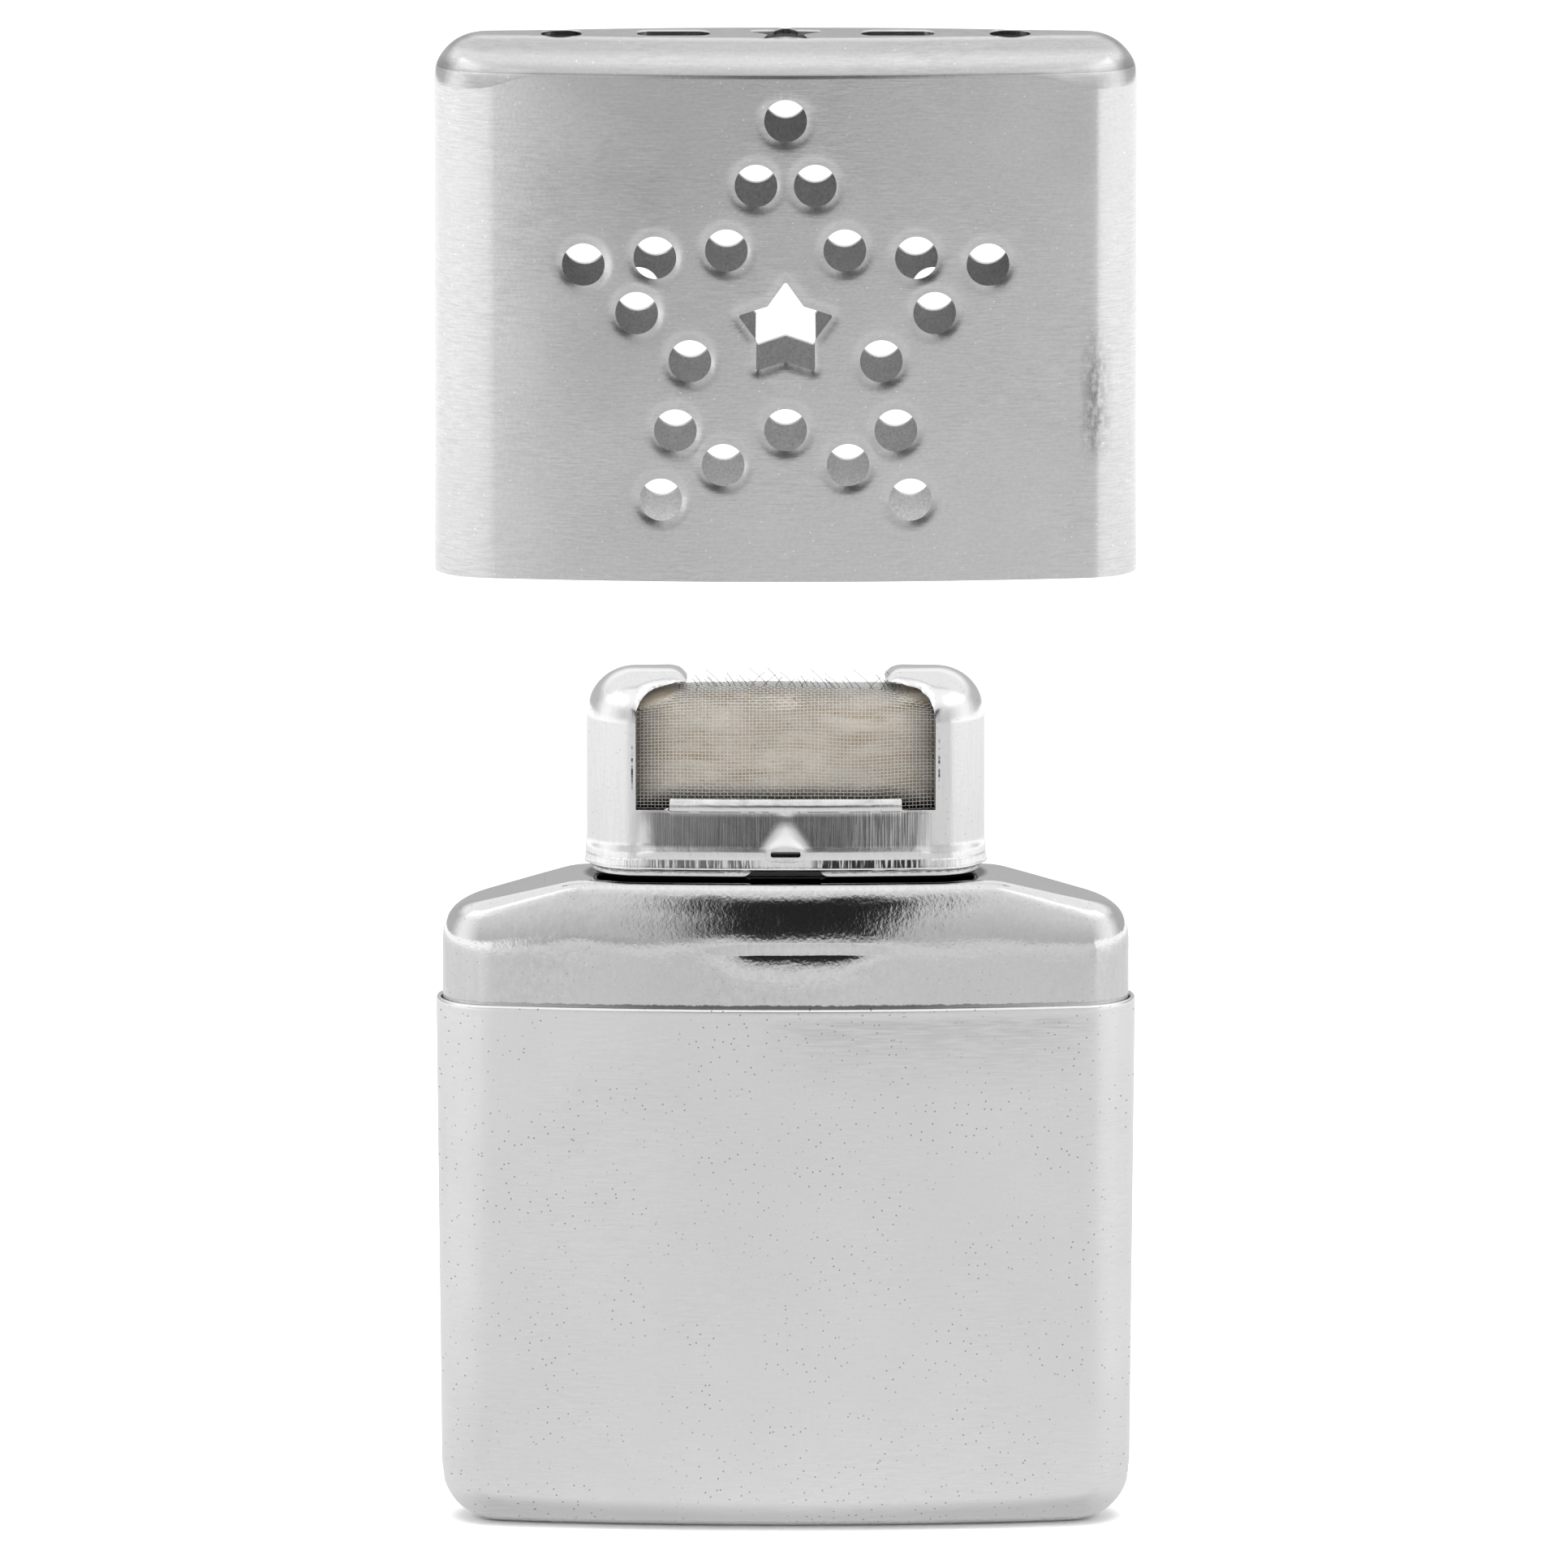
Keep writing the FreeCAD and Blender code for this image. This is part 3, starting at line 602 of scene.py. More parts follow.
def metal(name, shade, roughness, peel, lines, line_share, specks_and_glints=(0.0, 0.0), cloud_share=0.03, extra=None):
    """Plated sheet with orange peel, fine drawing lines, a cloudy sheen, dark dots, and pale dots of painted
    glint.

    Lines have lengths in millimetres and a share by which they lighten and darken the sheet; the two dot
    shares are those of the dark dots and of the pale dots, which are painted glints."""
    material, nodes, shader = new_material(name)
    cloud, fine = nodes.noise(9.0, 4.0), nodes.noise(0.34)
    streaks = nodes.noise(lines, 3.0, 0.6)
    patches = nodes.noise(11.0, 2.0).ramp(0.40, 0.62, 0.25, 1.0)
    tone = streaks.ramp(0.34, 0.66, -line_share, line_share) * patches
    tone += cloud.ramp(0.35, 0.65, -cloud_share, cloud_share)
    tone += fine.ramp(0.3, 0.7, -line_share * 0.4, line_share * 0.4)
    colour = nodes.blend(tone.ramp(-0.25, 0.25), grey(shade * 0.75), grey(min(shade * 1.25, 1.0)))
    some = nodes.noise(5.0).ramp(0.42, 0.6)
    # The dark dots are specks; the pale dots are painted glints.
    for share, (pitch, size, dot) in zip(specks_and_glints, (DARK_DOTS, GLINT_DOTS)):
        if share:
            colour = nodes.blend(nodes.dots(pitch, size) * some * share, colour, dot)
    nodes.rough = cloud.ramp(0.3, 0.7, roughness * 0.9, roughness * 1.1)
    nodes.bumps += [(fine, peel, 0.6), (streaks, peel * 0.8, 0.6)]
    if extra:
        colour = extra(nodes, colour)
    nodes.finish(shader, colour, nodes.rough, Metallic=1.0)
    return material


def cover_marks_and_shade(nodes, colour):
    """Painted shade along the crown's two edges, and a dark broken smudge low on the right of the front."""
    # Painted shade in two bands below the top, along the crown's two edges.
    depths = ((3.02, 0.0), (2.98, 0.34), (2.4, 0.20), (1.9, 0.0),
              (1.5, 0.0), (0.9, 0.2), (0.3, 0.24), (0.05, 0.0))
    crown_shade = nodes.z.curve(*((COVER_TOP - depth, level) for depth, level in depths))
    colour = nodes.blend(crown_shade, colour, grey(0.0))
    smudge = nodes.x.ramp(27.4, 28.7) * nodes.x.ramp(29.0, 30.8, 1.0, 0.0)
    smudge *= nodes.z.curve((102.0, 0.0), (106.0, 1.0), (111.5, 0.8), (116.5, 0.0))
    smudge *= nodes.noise((0.5, 0.5, 0.9), 4.0, 0.65).ramp(0.40, 0.60, 0.15, 1.0)
    return nodes.blend(smudge * nodes.y.ramp(0.0, -2.0, 0.0, 0.75), colour, grey(0.15))


def cover_inside_shade():
    """Inside of the cover, with painted shade that makes it darker towards its top."""
    material, nodes, shader = new_material("cover_inside_shade")
    grain = nodes.noise(0.24, 4.0, 0.7)
    # Painted shade: the level of the inside at heights above the rim.
    rises = ((2, 0.72), (6, 0.48), (10, 0.38), (24, 0.38), (34, 0.32))
    shade = nodes.z.curve(*((RIM + rise, level) for rise, level in rises), (COVER_TOP - 6, 0.26))
    shade *= grain.ramp(0.3, 0.7, 0.75, 1.25)
    nodes.bumps = [(grain, 0.03, 0.8)]
    nodes.finish(shader, nodes.blend(shade, grey(0.0), grey(1.0)), 0.7, Metallic=0.15)
    return material


def tank_marks(nodes, colour):
    """Faint darker drawing lines on the right of the tank, just below its rim."""
    lines = nodes.noise((3.0, 3.0, 0.22)).ramp(0.36, 0.60, 0.10, 0.42)
    band = nodes.z.curve((41.5, 0.0), (46.5, 0.55), (49.2, 1.0), (50.0, 0.0))
    side = nodes.x.ramp(-3.0, 3.0) * nodes.x.ramp(26.0, 31.0, 1.0, 0.0)
    return nodes.blend(band * side * lines, colour, grey(0.45))


def shoulder_shade(nodes, colour):
    """Painted shade on the filler neck and the roof just round its foot, and in the joint with the tank's
    rim.
    """
    side, z = abs(nodes.x), nodes.z
    foot_centre = 13.8
    away = (side - foot_centre).most(0.0).hypot(nodes.y)
    level = z.ramp(PLATEAU - 0.3, PLATEAU - 0.05) * z.ramp(PLATEAU + 1.0, PLATEAU + 2.4, 1.0, 0.25)
    # Painted shade round the neck's foot, under the burner.
    colour = nodes.blend(away.ramp(4.8, 5.4, 1.0, 0.0) * level, colour, grey(0.035))
    # Painted shade in the gap at the joint with the tank's rim, with a ragged edge.
    burrs = nodes.noise((0.9, 0.9, 9.0), 3.0, 0.7).ramp(0.35, 0.65, -0.07, 0.07)
    joint = (z + burrs).ramp(SEAM + 0.25, SEAM + 0.33, 1.0, 0.0)
    return nodes.blend(joint * side.ramp(12.0, 30.0, 0.9, 0.15), colour, grey(0.12))


def collar_marks_and_shading(nodes, colour):
    """Upright draw lines of the collar, and painted light: shade in its skirt's pleats, a highlight on the
    detent, and dark reflections in a scored band and along the window edges.
    """
    x, z, side = nodes.x, nodes.z, abs(nodes.x)
    fold = nodes.noise((0.26, 30.0, 5.0), 3.0, 0.6)
    score = nodes.noise((0.10, 30.0, 9.0), 2.0)
    skirt = z.within(COLLAR + 0.06, COLLAR + 0.96, 0.1)
    reach = x.within(2.2, 13.4, 1.0).most(x.within(-13.6, -2.2, 1.2) * 0.8)
    # Painted shade in the skirt's pleats.
    colour = nodes.blend(skirt * reach * fold.ramp(0.40, 0.50), colour, grey(0.045))
    beside = side - z.ramp(COLLAR + 1.9, COLLAR + 4.6, 2.3, 0.3)
    # Painted highlight on the detent, which is also made rougher there.
    detent_highlight = z.within(COLLAR + 1.6, COLLAR + 4.7, 0.9) * beside.ramp(-0.9, 0.5, 1.0, 0.0)
    nodes.rough = between(detent_highlight, nodes.rough, 0.6)
    colour = nodes.blend(detent_highlight, colour, grey(0.95))
    # Painted dark reflection in a band across the collar, broken by score lines.
    band = z.within(COLLAR + 2.0, COLLAR + 5.62, 0.35) * x.within(-14.6, 14.2, 2.4) * beside.ramp(0.0, 0.7)
    band *= 1.0 - score.ramp(0.54, 0.60) * x.ramp(5.0, 9.0, 0.15, 0.8)
    colour = nodes.blend(band * 0.75, colour, grey(0.20))
    # Painted dark reflection in a thin line beside each window edge.
    edge_dark_reflection = side.within(14.32, 14.56, 0.07) * z.within(SILL + 1.4, SILL + 7.4, 2.0)
    edge_dark_reflection *= nodes.noise((9.0, 9.0, 0.5)).ramp(0.42, 0.56)
    nodes.bumps += [(fold * skirt, 0.10, 0.8), (score * band, 0.03, 0.6)]
    return nodes.blend(edge_dark_reflection, colour, grey(0.05))


def shade_under_collar(nodes, colour):
    """Painted shade on the upper part of the sleeve, where the collar overhangs it."""
    level = nodes.z + nodes.noise((0.5, 0.5, 0.15)).ramp(0.3, 0.7, -0.09, 0.09)
    return nodes.blend(level.ramp(SLEEVE_FOOT + 0.36, SLEEVE_FOOT + 0.60) * 0.9, colour, grey(0.10))


def shaded_rim(nodes, colour):
    """Painted shade that darkens the gauze towards the edges of the window and towards the sill."""
    share = abs(nodes.x).ramp(11.2, 14.2).most(nodes.z.ramp(SILL + 0.4, SILL + 2.4, 1.0, 0.0))
    return nodes.blend(share * nodes.noise(2.2).ramp(0.3, 0.7, 0.35, 0.75), colour, (0.20, 0.17, 0.13))


def scorches_and_shade(nodes, colour):
    """Slanting tan scorch bands and small dark scratches, with painted shade where the wool falls back at its
    edges.
    """
    band = nodes.noise((7.0, 7.0, 1.1), 4.0, tilt=14).ramp(0.50, 0.70, 0.0, 0.75)
    colour = nodes.blend(band, colour, (0.40, 0.29, 0.15))
    nicks = nodes.noise((1.1, 1.1, 0.16), 2.0).ramp(0.68, 0.74, 0.0, 0.7)
    colour = nodes.blend(nicks, colour, (0.16, 0.10, 0.05))
    # Painted shade towards the sill, the top and the sides.
    low = nodes.z.ramp(SILL + 0.2, SILL + 2.2, 1.0, 0.0)
    high = nodes.z.ramp(GAUZE_TOP - 0.55, GAUZE_TOP - 0.15)
    shade = abs(nodes.x).ramp(10.5, 14.0).most(low.most(high)) * 0.75
    return nodes.blend(shade, colour, (0.10, 0.08, 0.055))


def fibre(name, pale, dark, grain, depth, extra=None):
    """Matt fibrous stuffing with cloudy tone and fine strands."""
    material, nodes, shader = new_material(name)
    cloud = nodes.noise((4.5, 4.5, 2.2), 4.0, 0.6)
    strands = nodes.noise((grain * 5, grain * 5, grain), 4.0, 0.65)
    tone = cloud.ramp(0.4, 0.68, 0.0, 0.75) + strands.ramp(0.35, 0.7, 0.0, 0.35)
    colour = nodes.blend(tone, pale, dark)
    nodes.bumps = [(strands, depth, 0.8), (cloud, depth * 2, 0.5)]
    if extra:
        colour = extra(nodes, colour)
    nodes.finish(shader, colour, 0.95, Sheen_Weight=0.3)
    return material


COVER_STEEL = metal("cover_steel", shade=0.64, roughness=0.19, peel=0.007, lines=(1.6, 1.6, 0.17),
                    line_share=0.085, specks_and_glints=(0.0, 0.6), cloud_share=0.025, extra=cover_marks_and_shade)
COVER_INSIDE_SHADE = cover_inside_shade()
TANK_STEEL = metal("tank_steel", shade=0.84, roughness=0.26, peel=0.003, lines=(1.8, 1.8, 0.16),
                   line_share=0.035, specks_and_glints=(0.7, 0.0), cloud_share=0.018, extra=tank_marks)
SHOULDER_STEEL = metal("shoulder_steel", shade=0.70, roughness=0.075, peel=0.012, lines=(0.45, 0.45, 0.9),
                       line_share=0.05, specks_and_glints=(0.3, 0.5), cloud_share=0.015, extra=shoulder_shade)
BURNER_STEEL = metal("burner_steel", shade=0.82, roughness=0.20, peel=0.008, lines=(0.20, 0.20, 3.5),
                     line_share=0.03, specks_and_glints=(0.2, 0.0), cloud_share=0.015, extra=collar_marks_and_shading)
SLEEVE_STEEL = metal("sleeve_steel", shade=0.84, roughness=0.20, peel=0.008, lines=(0.2, 0.2, 2.5),
                     line_share=0.04, extra=shade_under_collar)
WIRE_STEEL = metal("wire_steel", shade=0.95, roughness=0.36, peel=0.004, lines=(0.3, 0.3, 0.3),
                   line_share=0.10, extra=shaded_rim)
GLASS_WOOL = fibre("glass_wool", pale=(0.78, 0.72, 0.62), dark=(0.48, 0.40, 0.29), grain=0.12, depth=0.12,
                   extra=scorches_and_shade)
COTTON_FIBRE = fibre("cotton_fibre", pale=(0.93, 0.92, 0.89), dark=(0.78, 0.76, 0.71), grain=0.3, depth=0.2)
FELT_FIBRE = fibre("felt_fibre", pale=(0.86, 0.84, 0.79), dark=(0.68, 0.65, 0.58), grain=0.15, depth=0.1)
STRAY_FIBRE = fibre("stray_fibre", pale=(0.10, 0.09, 0.08), dark=(0.04, 0.035, 0.03), grain=0.2, depth=0.01)


# ---------------------------------------------------------------- capped oval skins


def face_share(oval, x):
    """1 on the wide faces of an oval, fading to 0 on its ends."""
    share = np.clip((oval.centre + 1.5 - np.abs(x)) / 6.0, 0, 1)
    return share * share * (3 - 2 * share)


def cap_skin(oval, reach, rise, top, step, flat_step, rings, loops=(), margins=(0.1,), power=2.0, lift=0.0):
    """Rounded edge and flat top of an oval, open inside each loop.

    The edge is a superellipse; on the faces it has the given power and its foot is lifted."""
    walk = oval.walk(step)
    layers = [oval.at(walk, reach * (1 - math.cos(t))) for t in np.linspace(0, math.pi / 2, rings)]
    spots = flat_step / 3 + grid(np.arange(-oval.reach, oval.reach, flat_step),
                                 np.arange(-oval.depth, oval.depth, flat_step))
    spots = spots[oval.depth_inside(spots) > reach + flat_step / 2]
    flat, faces = fill(np.concatenate([*layers[1:], spots]), layers[0], loops, margins)
    inset, middle = oval.depth_inside(flat), face_share(oval, flat[:, 0])
    power = 2.0 + (power - 2.0) * middle
    across = np.clip(1 - np.where(inset < 1e-6, 0.0, inset) / reach, 0, 1)
    drop = (rise - lift * middle) * (1 - np.maximum(1 - across**power, 0) ** (1 / power))
    return np.column_stack([flat, top - drop]), faces


def to_wall(oval, loop, front=True):
    """Carries an outline in the face's x and z on to distance along the wall and z."""
    run = oval.stops[1] + (np.arccos(loop[:, 0] / oval.face) - oval.turn) * oval.face
    return np.column_stack([oval.length - run if front else run, loop[:, 1]])


def oriented(points, faces):
    """Turns every triangle of a capped oval skin outward."""
    normal, middle = face_normals(points, faces)
    centre = np.column_stack([np.clip(middle[:, 0], -BURNER.centre, BURNER.centre) * 0.8,
                              np.zeros(len(middle)), np.minimum(middle[:, 2], points[:, 2].max() - 8.0)])
    return turned(faces, (normal * (middle - centre)).sum(1) < 0)


# ---------------------------------------------------------------- cover


def vent_loops():
    """Round vents along the arms of a star and the small star vent, in the face's x and z."""
    spots, half = [], math.pi / STAR_ARMS
    for i in range(STAR_ARMS):
        out = math.pi / 2 + 2 * i * half
        tip, after, before = (reach * np.array([math.cos(turn), math.sin(turn)]) for reach, turn in (
            (PATTERN_TIP, out), (PATTERN_WAIST, out + half), (PATTERN_WAIST, out - half)))
        spots += [tip, after, (tip + after) / 2, (tip + before) / 2]
    middle = np.array([0.0, PATTERN_Z])
    star = middle + star_loop(STAR_TIP, STAR_WAIST)
    return [*(middle + spot + ring_of(VENT_RADIUS) for spot in spots), star]


def top_loops():
    """Star, slots and round vents of the cover's top, in x and y."""
    slot = box_loop(SLOT_LENGTH / 2, -SLOT_WIDTH / 2, SLOT_WIDTH / 2, SLOT_ROUND)
    loops = [star_loop(TOP_STAR_TIP, TOP_STAR_WAIST)]
    for side in (-1, 1):
        loops.append(slot + np.array([side * TOP_PITCH, 0.0]))
        loops.append(ring_of(TOP_RADIUS) + np.array([side * 2 * TOP_PITCH, 0.0]))
    return loops


def dish(flat, loops, depth, reach):
    """How deep the skin is pressed in around each opening, at points in the plane of the loops."""
    move = np.zeros(len(flat))
    for loop in loops:
        close = near(flat, loop, reach)
        share = np.clip(1 - distance_to_loop(flat[close], loop) / reach, 0, 1)
        move[close] = np.maximum(move[close], depth * share**2)
    return move


def build_cover():
    crown, crease = COVER_TOP - CROWN_RISE, 0.62
    step = 1.2
    rows = np.concatenate([[RIM + 0.02, RIM + 0.3], np.arange(RIM + step, crown - step, step),
                           crown - np.array([0.6, 0.35, 0.2, 0.08, 0.0])])
    loops = [to_wall(BODY, loop, front) for front in (True, False) for loop in vent_loops()]
    walk = np.append(BODY.walk(1.3), BODY.length)
    flat, faces = sheet(walk, rows, loops, VENT_RINGS, ceiling=crown - crease)
    along, z = flat.T
    skin = np.column_stack([BODY.at(along), z])
    inward = np.column_stack([BODY.at(along, 1.0) - skin[:, :2], np.zeros(len(flat))])
    skin[:, 2] += CROWN_LIFT * face_share(BODY, skin[:, 0]) * np.clip((z - crown + crease) / crease, 0, 1)
    pressed = dish(flat, loops, depth=0.10, reach=1.05) * np.clip(crown - 0.65 - z, 0, 1)
    skin += inward * pressed[:, None]
    tops = top_loops()
    cap, cap_faces = cap_skin(BODY, CROWN_REACH, CROWN_RISE, COVER_TOP, step=1.3, flat_step=0.7, rings=20,
                              loops=tops, margins=TOP_RINGS, power=1.45, lift=CROWN_LIFT)
    cap[:, 2] -= dish(cap[:, :2], tops, depth=0.12, reach=0.6)
    points, faces = join((skin, faces), (cap, cap_faces))
    faces = oriented(points, faces)
    dent = 0.012 * ripple(points, 9.0, 3) * np.clip((points[:, 2] - RIM) / 3, 0, 1)
    points = points - vertex_normals(points, faces) * np.maximum(dent, 0)[:, None]
    points, faces, inner = thicken(points, faces, COVER_WALL)
    add_piece("cover_skin", "cover_shell", "cover", points, faces, COVER_STEEL,
              crease=42, lining=COVER_INSIDE_SHADE, lined=inner)


# ---------------------------------------------------------------- tank


def build_tank():
    """Cup with drafted walls, a rounded base and a rolled rim; its base is rounder at the ends."""
    wall, base = TANK_WALL, TANK_ROUND
    start = (SEAM - base) * TANK_DRAFT
    turns = np.linspace(math.pi / 2, 0, 14)
    outer = [(start + base * (1 - math.cos(t)), base * (1 - math.sin(t))) for t in turns]
    outer += [((SEAM - z) * TANK_DRAFT, z) for z in np.linspace(base + 2, SEAM - 1.2, 24)]
    rolled = ((0.02, 0.6), (0.0, 0.28), (0.04, 0.1), (0.14, 0.01),
              (0.27, 0), (0.38, 0.05), (0.45, 0.16), (0.5, 0.34))
    outer += [(inset, SEAM - drop) for inset, drop in rolled]
    inner = [(wall, SEAM - 1.0), (wall + start, base + 1.0), (start + 1.6, base - 1.4), (start + base, wall)]
    points, faces, count = sweep(BODY, [*outer, *inner], 0.9)
    spots = grid(np.arange(-30, 30, 2.0), np.arange(-6, 6, 1.0))
    spots = spots[BODY.depth_inside(spots) > start + base + 0.4]
    under, under_faces = plate(spots, points[:count, :2], 0.0)
    over = plate(spots, points[-count:, :2], wall)
    points[:, 2] -= np.abs(0.02 * ripple(points, 1.6, 5)) * (points[:, 2] > SEAM - 0.5)
    points, faces = join((points, faces), (under, under_faces[:, ::-1]), over)
    radii = (base, base + TANK_END_ROUND)
    bent, rounder = (r - np.sqrt(r**2 - np.clip(r - points[:, 2], 0, r) ** 2) for r in radii)
    ends = np.clip((np.abs(points[:, 0]) - 22.0) / 7.0, 0, 1)
    points[:, 0] *= 1 - (rounder - bent) / BODY.reach * ends
    add_piece("tank_cup", "tank_lower_shell", "tank", points, faces, TANK_STEEL, crease=46)


def roof_line(x):
    """Height of the shoulder's roof along its middle: level, a bend, then a slope."""
    x, half = np.abs(x), ROOF_BEND * math.tan(ROOF_ANGLE / 2)
    slope = PLATEAU - np.maximum(x - PLATEAU_END, 0) * math.tan(ROOF_ANGLE)
    away = np.clip(x - (PLATEAU_END - half), 0, 2 * half)
    bent = PLATEAU - (ROOF_BEND - np.sqrt(ROOF_BEND**2 - np.minimum(away, ROOF_BEND * 0.9) ** 2))
    return np.where(x < PLATEAU_END - half, PLATEAU, np.where(x < PLATEAU_END + half, bent, slope))


def roof_edge(walk):
    """Rows of inset and drop below the roof: a slow curve in the middle, a round corner at the ends."""
    middle = 1 - np.clip((np.abs(SHOULDER.at(walk)[:, 0]) - 15.0) / 18.0, 0, 1) ** 2
    reach, foot, fall, knee, knee_drop = 1.95, 1.01, 8.4, 0.55, 0.66
    knee_turn, end_reach, end_fall = math.radians(20), 2.6, 3.9
    rows = []
    for t in np.linspace(0, 1, 44):
        if t < knee:
            inset, drop = foot * (t / knee) ** 2.79, fall - (fall - knee_drop) * t / knee
        else:
            turn = knee_turn + (math.pi / 2 - knee_turn) * (t - knee) / (1 - knee)
            inset = foot + (reach - foot) * (math.cos(knee_turn) - math.cos(turn)) / math.cos(knee_turn)
            drop = knee_drop * (1 - math.sin(turn)) / (1 - math.sin(knee_turn))
        turn = t**1.5 * math.pi / 2
        end_inset, end_drop = end_reach * (1 - math.cos(turn)), end_fall * (1 - math.sin(turn) ** 0.6)
        rows.append((end_inset + (inset - end_inset) * middle, end_drop + (drop - end_drop) * middle))
    return rows


def outward(points, faces):
    """Turns the roof's triangles up and the walls' triangles away from the middle."""
    normal, middle = face_normals(points, faces)
    axis = np.column_stack([np.clip(middle[:, 0], -NECK.centre, NECK.centre), np.zeros(len(middle))])
    side = (normal[:, :2] * (middle[:, :2] - axis)).sum(1)
    side = np.where(np.abs(side) > 1e-9, side, normal[:, 2])
    up = np.abs(normal[:, 2]) > 0.35 * np.linalg.norm(normal[:, :2], axis=1)
    return turned(faces, np.where(up, normal[:, 2], side) < 0)


def build_shoulder():
    """Skirt, rounded edge and sloping roof with the filler neck drawn up out of it; dented by use."""
    walk = np.append(SHOULDER.walk(0.8), SHOULDER.length)
    edge = SHOULDER.at(walk)
    curve = roof_edge(walk)
    height = roof_line(edge[:, 0]) - curve[0][1] - SKIRT_FOOT
    rows = [np.column_stack([edge, SKIRT_FOOT + height * share]) for share in np.linspace(0, 1, 9)]
    for inset, drop in curve[1:]:
        spots = edge + (SHOULDER.at(walk, 1.0) - edge) * np.asarray(inset)[:, None]
        rows.append(np.column_stack([spots, roof_line(spots[:, 0]) - drop]))
    wall = np.concatenate(rows), grid_faces(len(rows), len(walk), closed=False)
    spots = grid(np.arange(-32, 32, 0.7), np.arange(-6.6, 6.6, 0.5)) + 0.1
    foot = NECK.at(NECK.walk(0.5), -NECK_ROUND)
    flat, roof_faces = fill(spots, rows[-1][:-1, :2], [foot], (0.12,), 0.04)
    roof = np.column_stack([flat, roof_line(flat[:, 0])]), roof_faces
    profile = [(-NECK_ROUND * (1 - math.sin(t)), PLATEAU + NECK_ROUND * (1 - math.cos(t)))
               for t in np.linspace(0, math.pi / 2, 7)]
    profile += [(0.0, z) for z in np.linspace(PLATEAU + NECK_ROUND + 0.5, NECK_TOP - 0.3, 6)]
    profile += [(0.06, NECK_TOP - 0.08), (0.2, NECK_TOP)]
    points, faces = join(wall, roof, sweep(NECK, profile, 0.5)[:2])
    faces = outward(points, faces)
    x, _, z = points.T
    sway = 0.03 * ripple(points * [1, 1, 1.6], 4.5, 71) * np.clip((z - SEAM - 0.5) / 3, 0, 1)
    below = CREASE_Z - z
    crease = np.where(below > 0, np.exp(-below / 1.9), np.exp(-((below / 0.25) ** 2)))
    sway = np.maximum(sway * (z < PLATEAU - 1.2), 0)
    sway += CREASE_DEPTH * crease * np.exp(-(((x - CREASE_X) / CREASE_HALF) ** 4))
    points = points - vertex_normals(points, faces) * sway[:, None]
    points, faces, _ = thicken(points, faces, SHOULDER_WALL)
    add_piece("shoulder_roof", "tank_shoulder_shell", "tank", points, faces,
              SHOULDER_STEEL, crease=50)


# ---------------------------------------------------------------- burner


def window_field(points):
    """Distance outside the window and its mouth over the top, negative inside; the lips are ragged."""
    x, y, z = points.T
    window = box_distance(x, z, WINDOW, SILL, BURNER_TOP + 5)
    tab = box_distance(x, z, TAB, SILL - 5, SILL + TAB_HEIGHT)
    share = np.clip((WINDOW - np.abs(x)) / (WINDOW - LIP_GAP), 0, 1)
    half = LIP_ROOT + (LIP_TIP - LIP_ROOT) * share**0.8 - 0.15 * np.sin(share * math.pi * 2)
    wobble = 0.14 * ripple(points, 1.0, 8) + 0.08 * ripple(points, 0.4, 9)
    ragged = wobble * np.clip((z - (BURNER_TOP - FRAME_CROWN) - 0.3) / 0.5, 0, 1)
    lip = np.maximum(np.abs(y) - half, LIP_GAP - np.abs(x)) + ragged
    return np.maximum(np.maximum(window, -tab), -lip)


COLLAR_LEVELS = (0.0, 0.12, 0.8, 0.95, 1.2, 1.6, 2.0, 2.3, 3.6, 5.2, 5.5, 5.62, 5.8, 6.1, 6.72, 6.9)
COLLAR_STAND = (0.28, 0.18, 0.19, 0.26, 0.44, 0.50, 0.46, 0.36, 0.21, 0.04, 0.05, 0.27, 0.36, 0.34, 0.12, 0.0)
SKIRT_LEVELS, SKIRT_STAND = COLLAR_LEVELS[:8], (0.25, 0.17, 0.13, 0.13, 0.12, 0.10, 0.03, 0.0)
SLIT_LOW, SLIT_HIGH = 1.25, 1.8


def collar_shape(x, z, faces_out):
    """How far the collar stands out at x and z, with its detent, bead and folded sill."""
    level = z - COLLAR
    half = np.interp(level, (0.7, 1.0, 2.1, 4.4), (1.7, 2.4, 2.4, 0.5))
    up = np.interp(level, (0.55, 1.0, 1.95, 4.0, 4.5), (0.0, 1.0, 1.0, 0.1, 0.0))
    ridge = 0.64 * up * np.clip(1 - (np.abs(x) / half) ** np.interp(level, (2.1, 3.2), (3.0, 1.6)), 0, 1)
    slit = np.exp(-((box_distance(x, level, 1.5, 1.3, 1.75) - 0.1) / 0.16) ** 2)
    middle = faces_out * np.clip((13.9 - np.abs(x)) / 1.4, 0, 1)
    stand = np.interp(level, COLLAR_LEVELS, COLLAR_STAND)
    stand = np.where((level > 5.4) & (np.abs(x) > TAB + 0.15), 0.0, stand)
    plain = np.interp(level, SKIRT_LEVELS, SKIRT_STAND)
    return np.maximum(plain + (stand - plain) * middle, (ridge + 0.07 * slit) * faces_out)


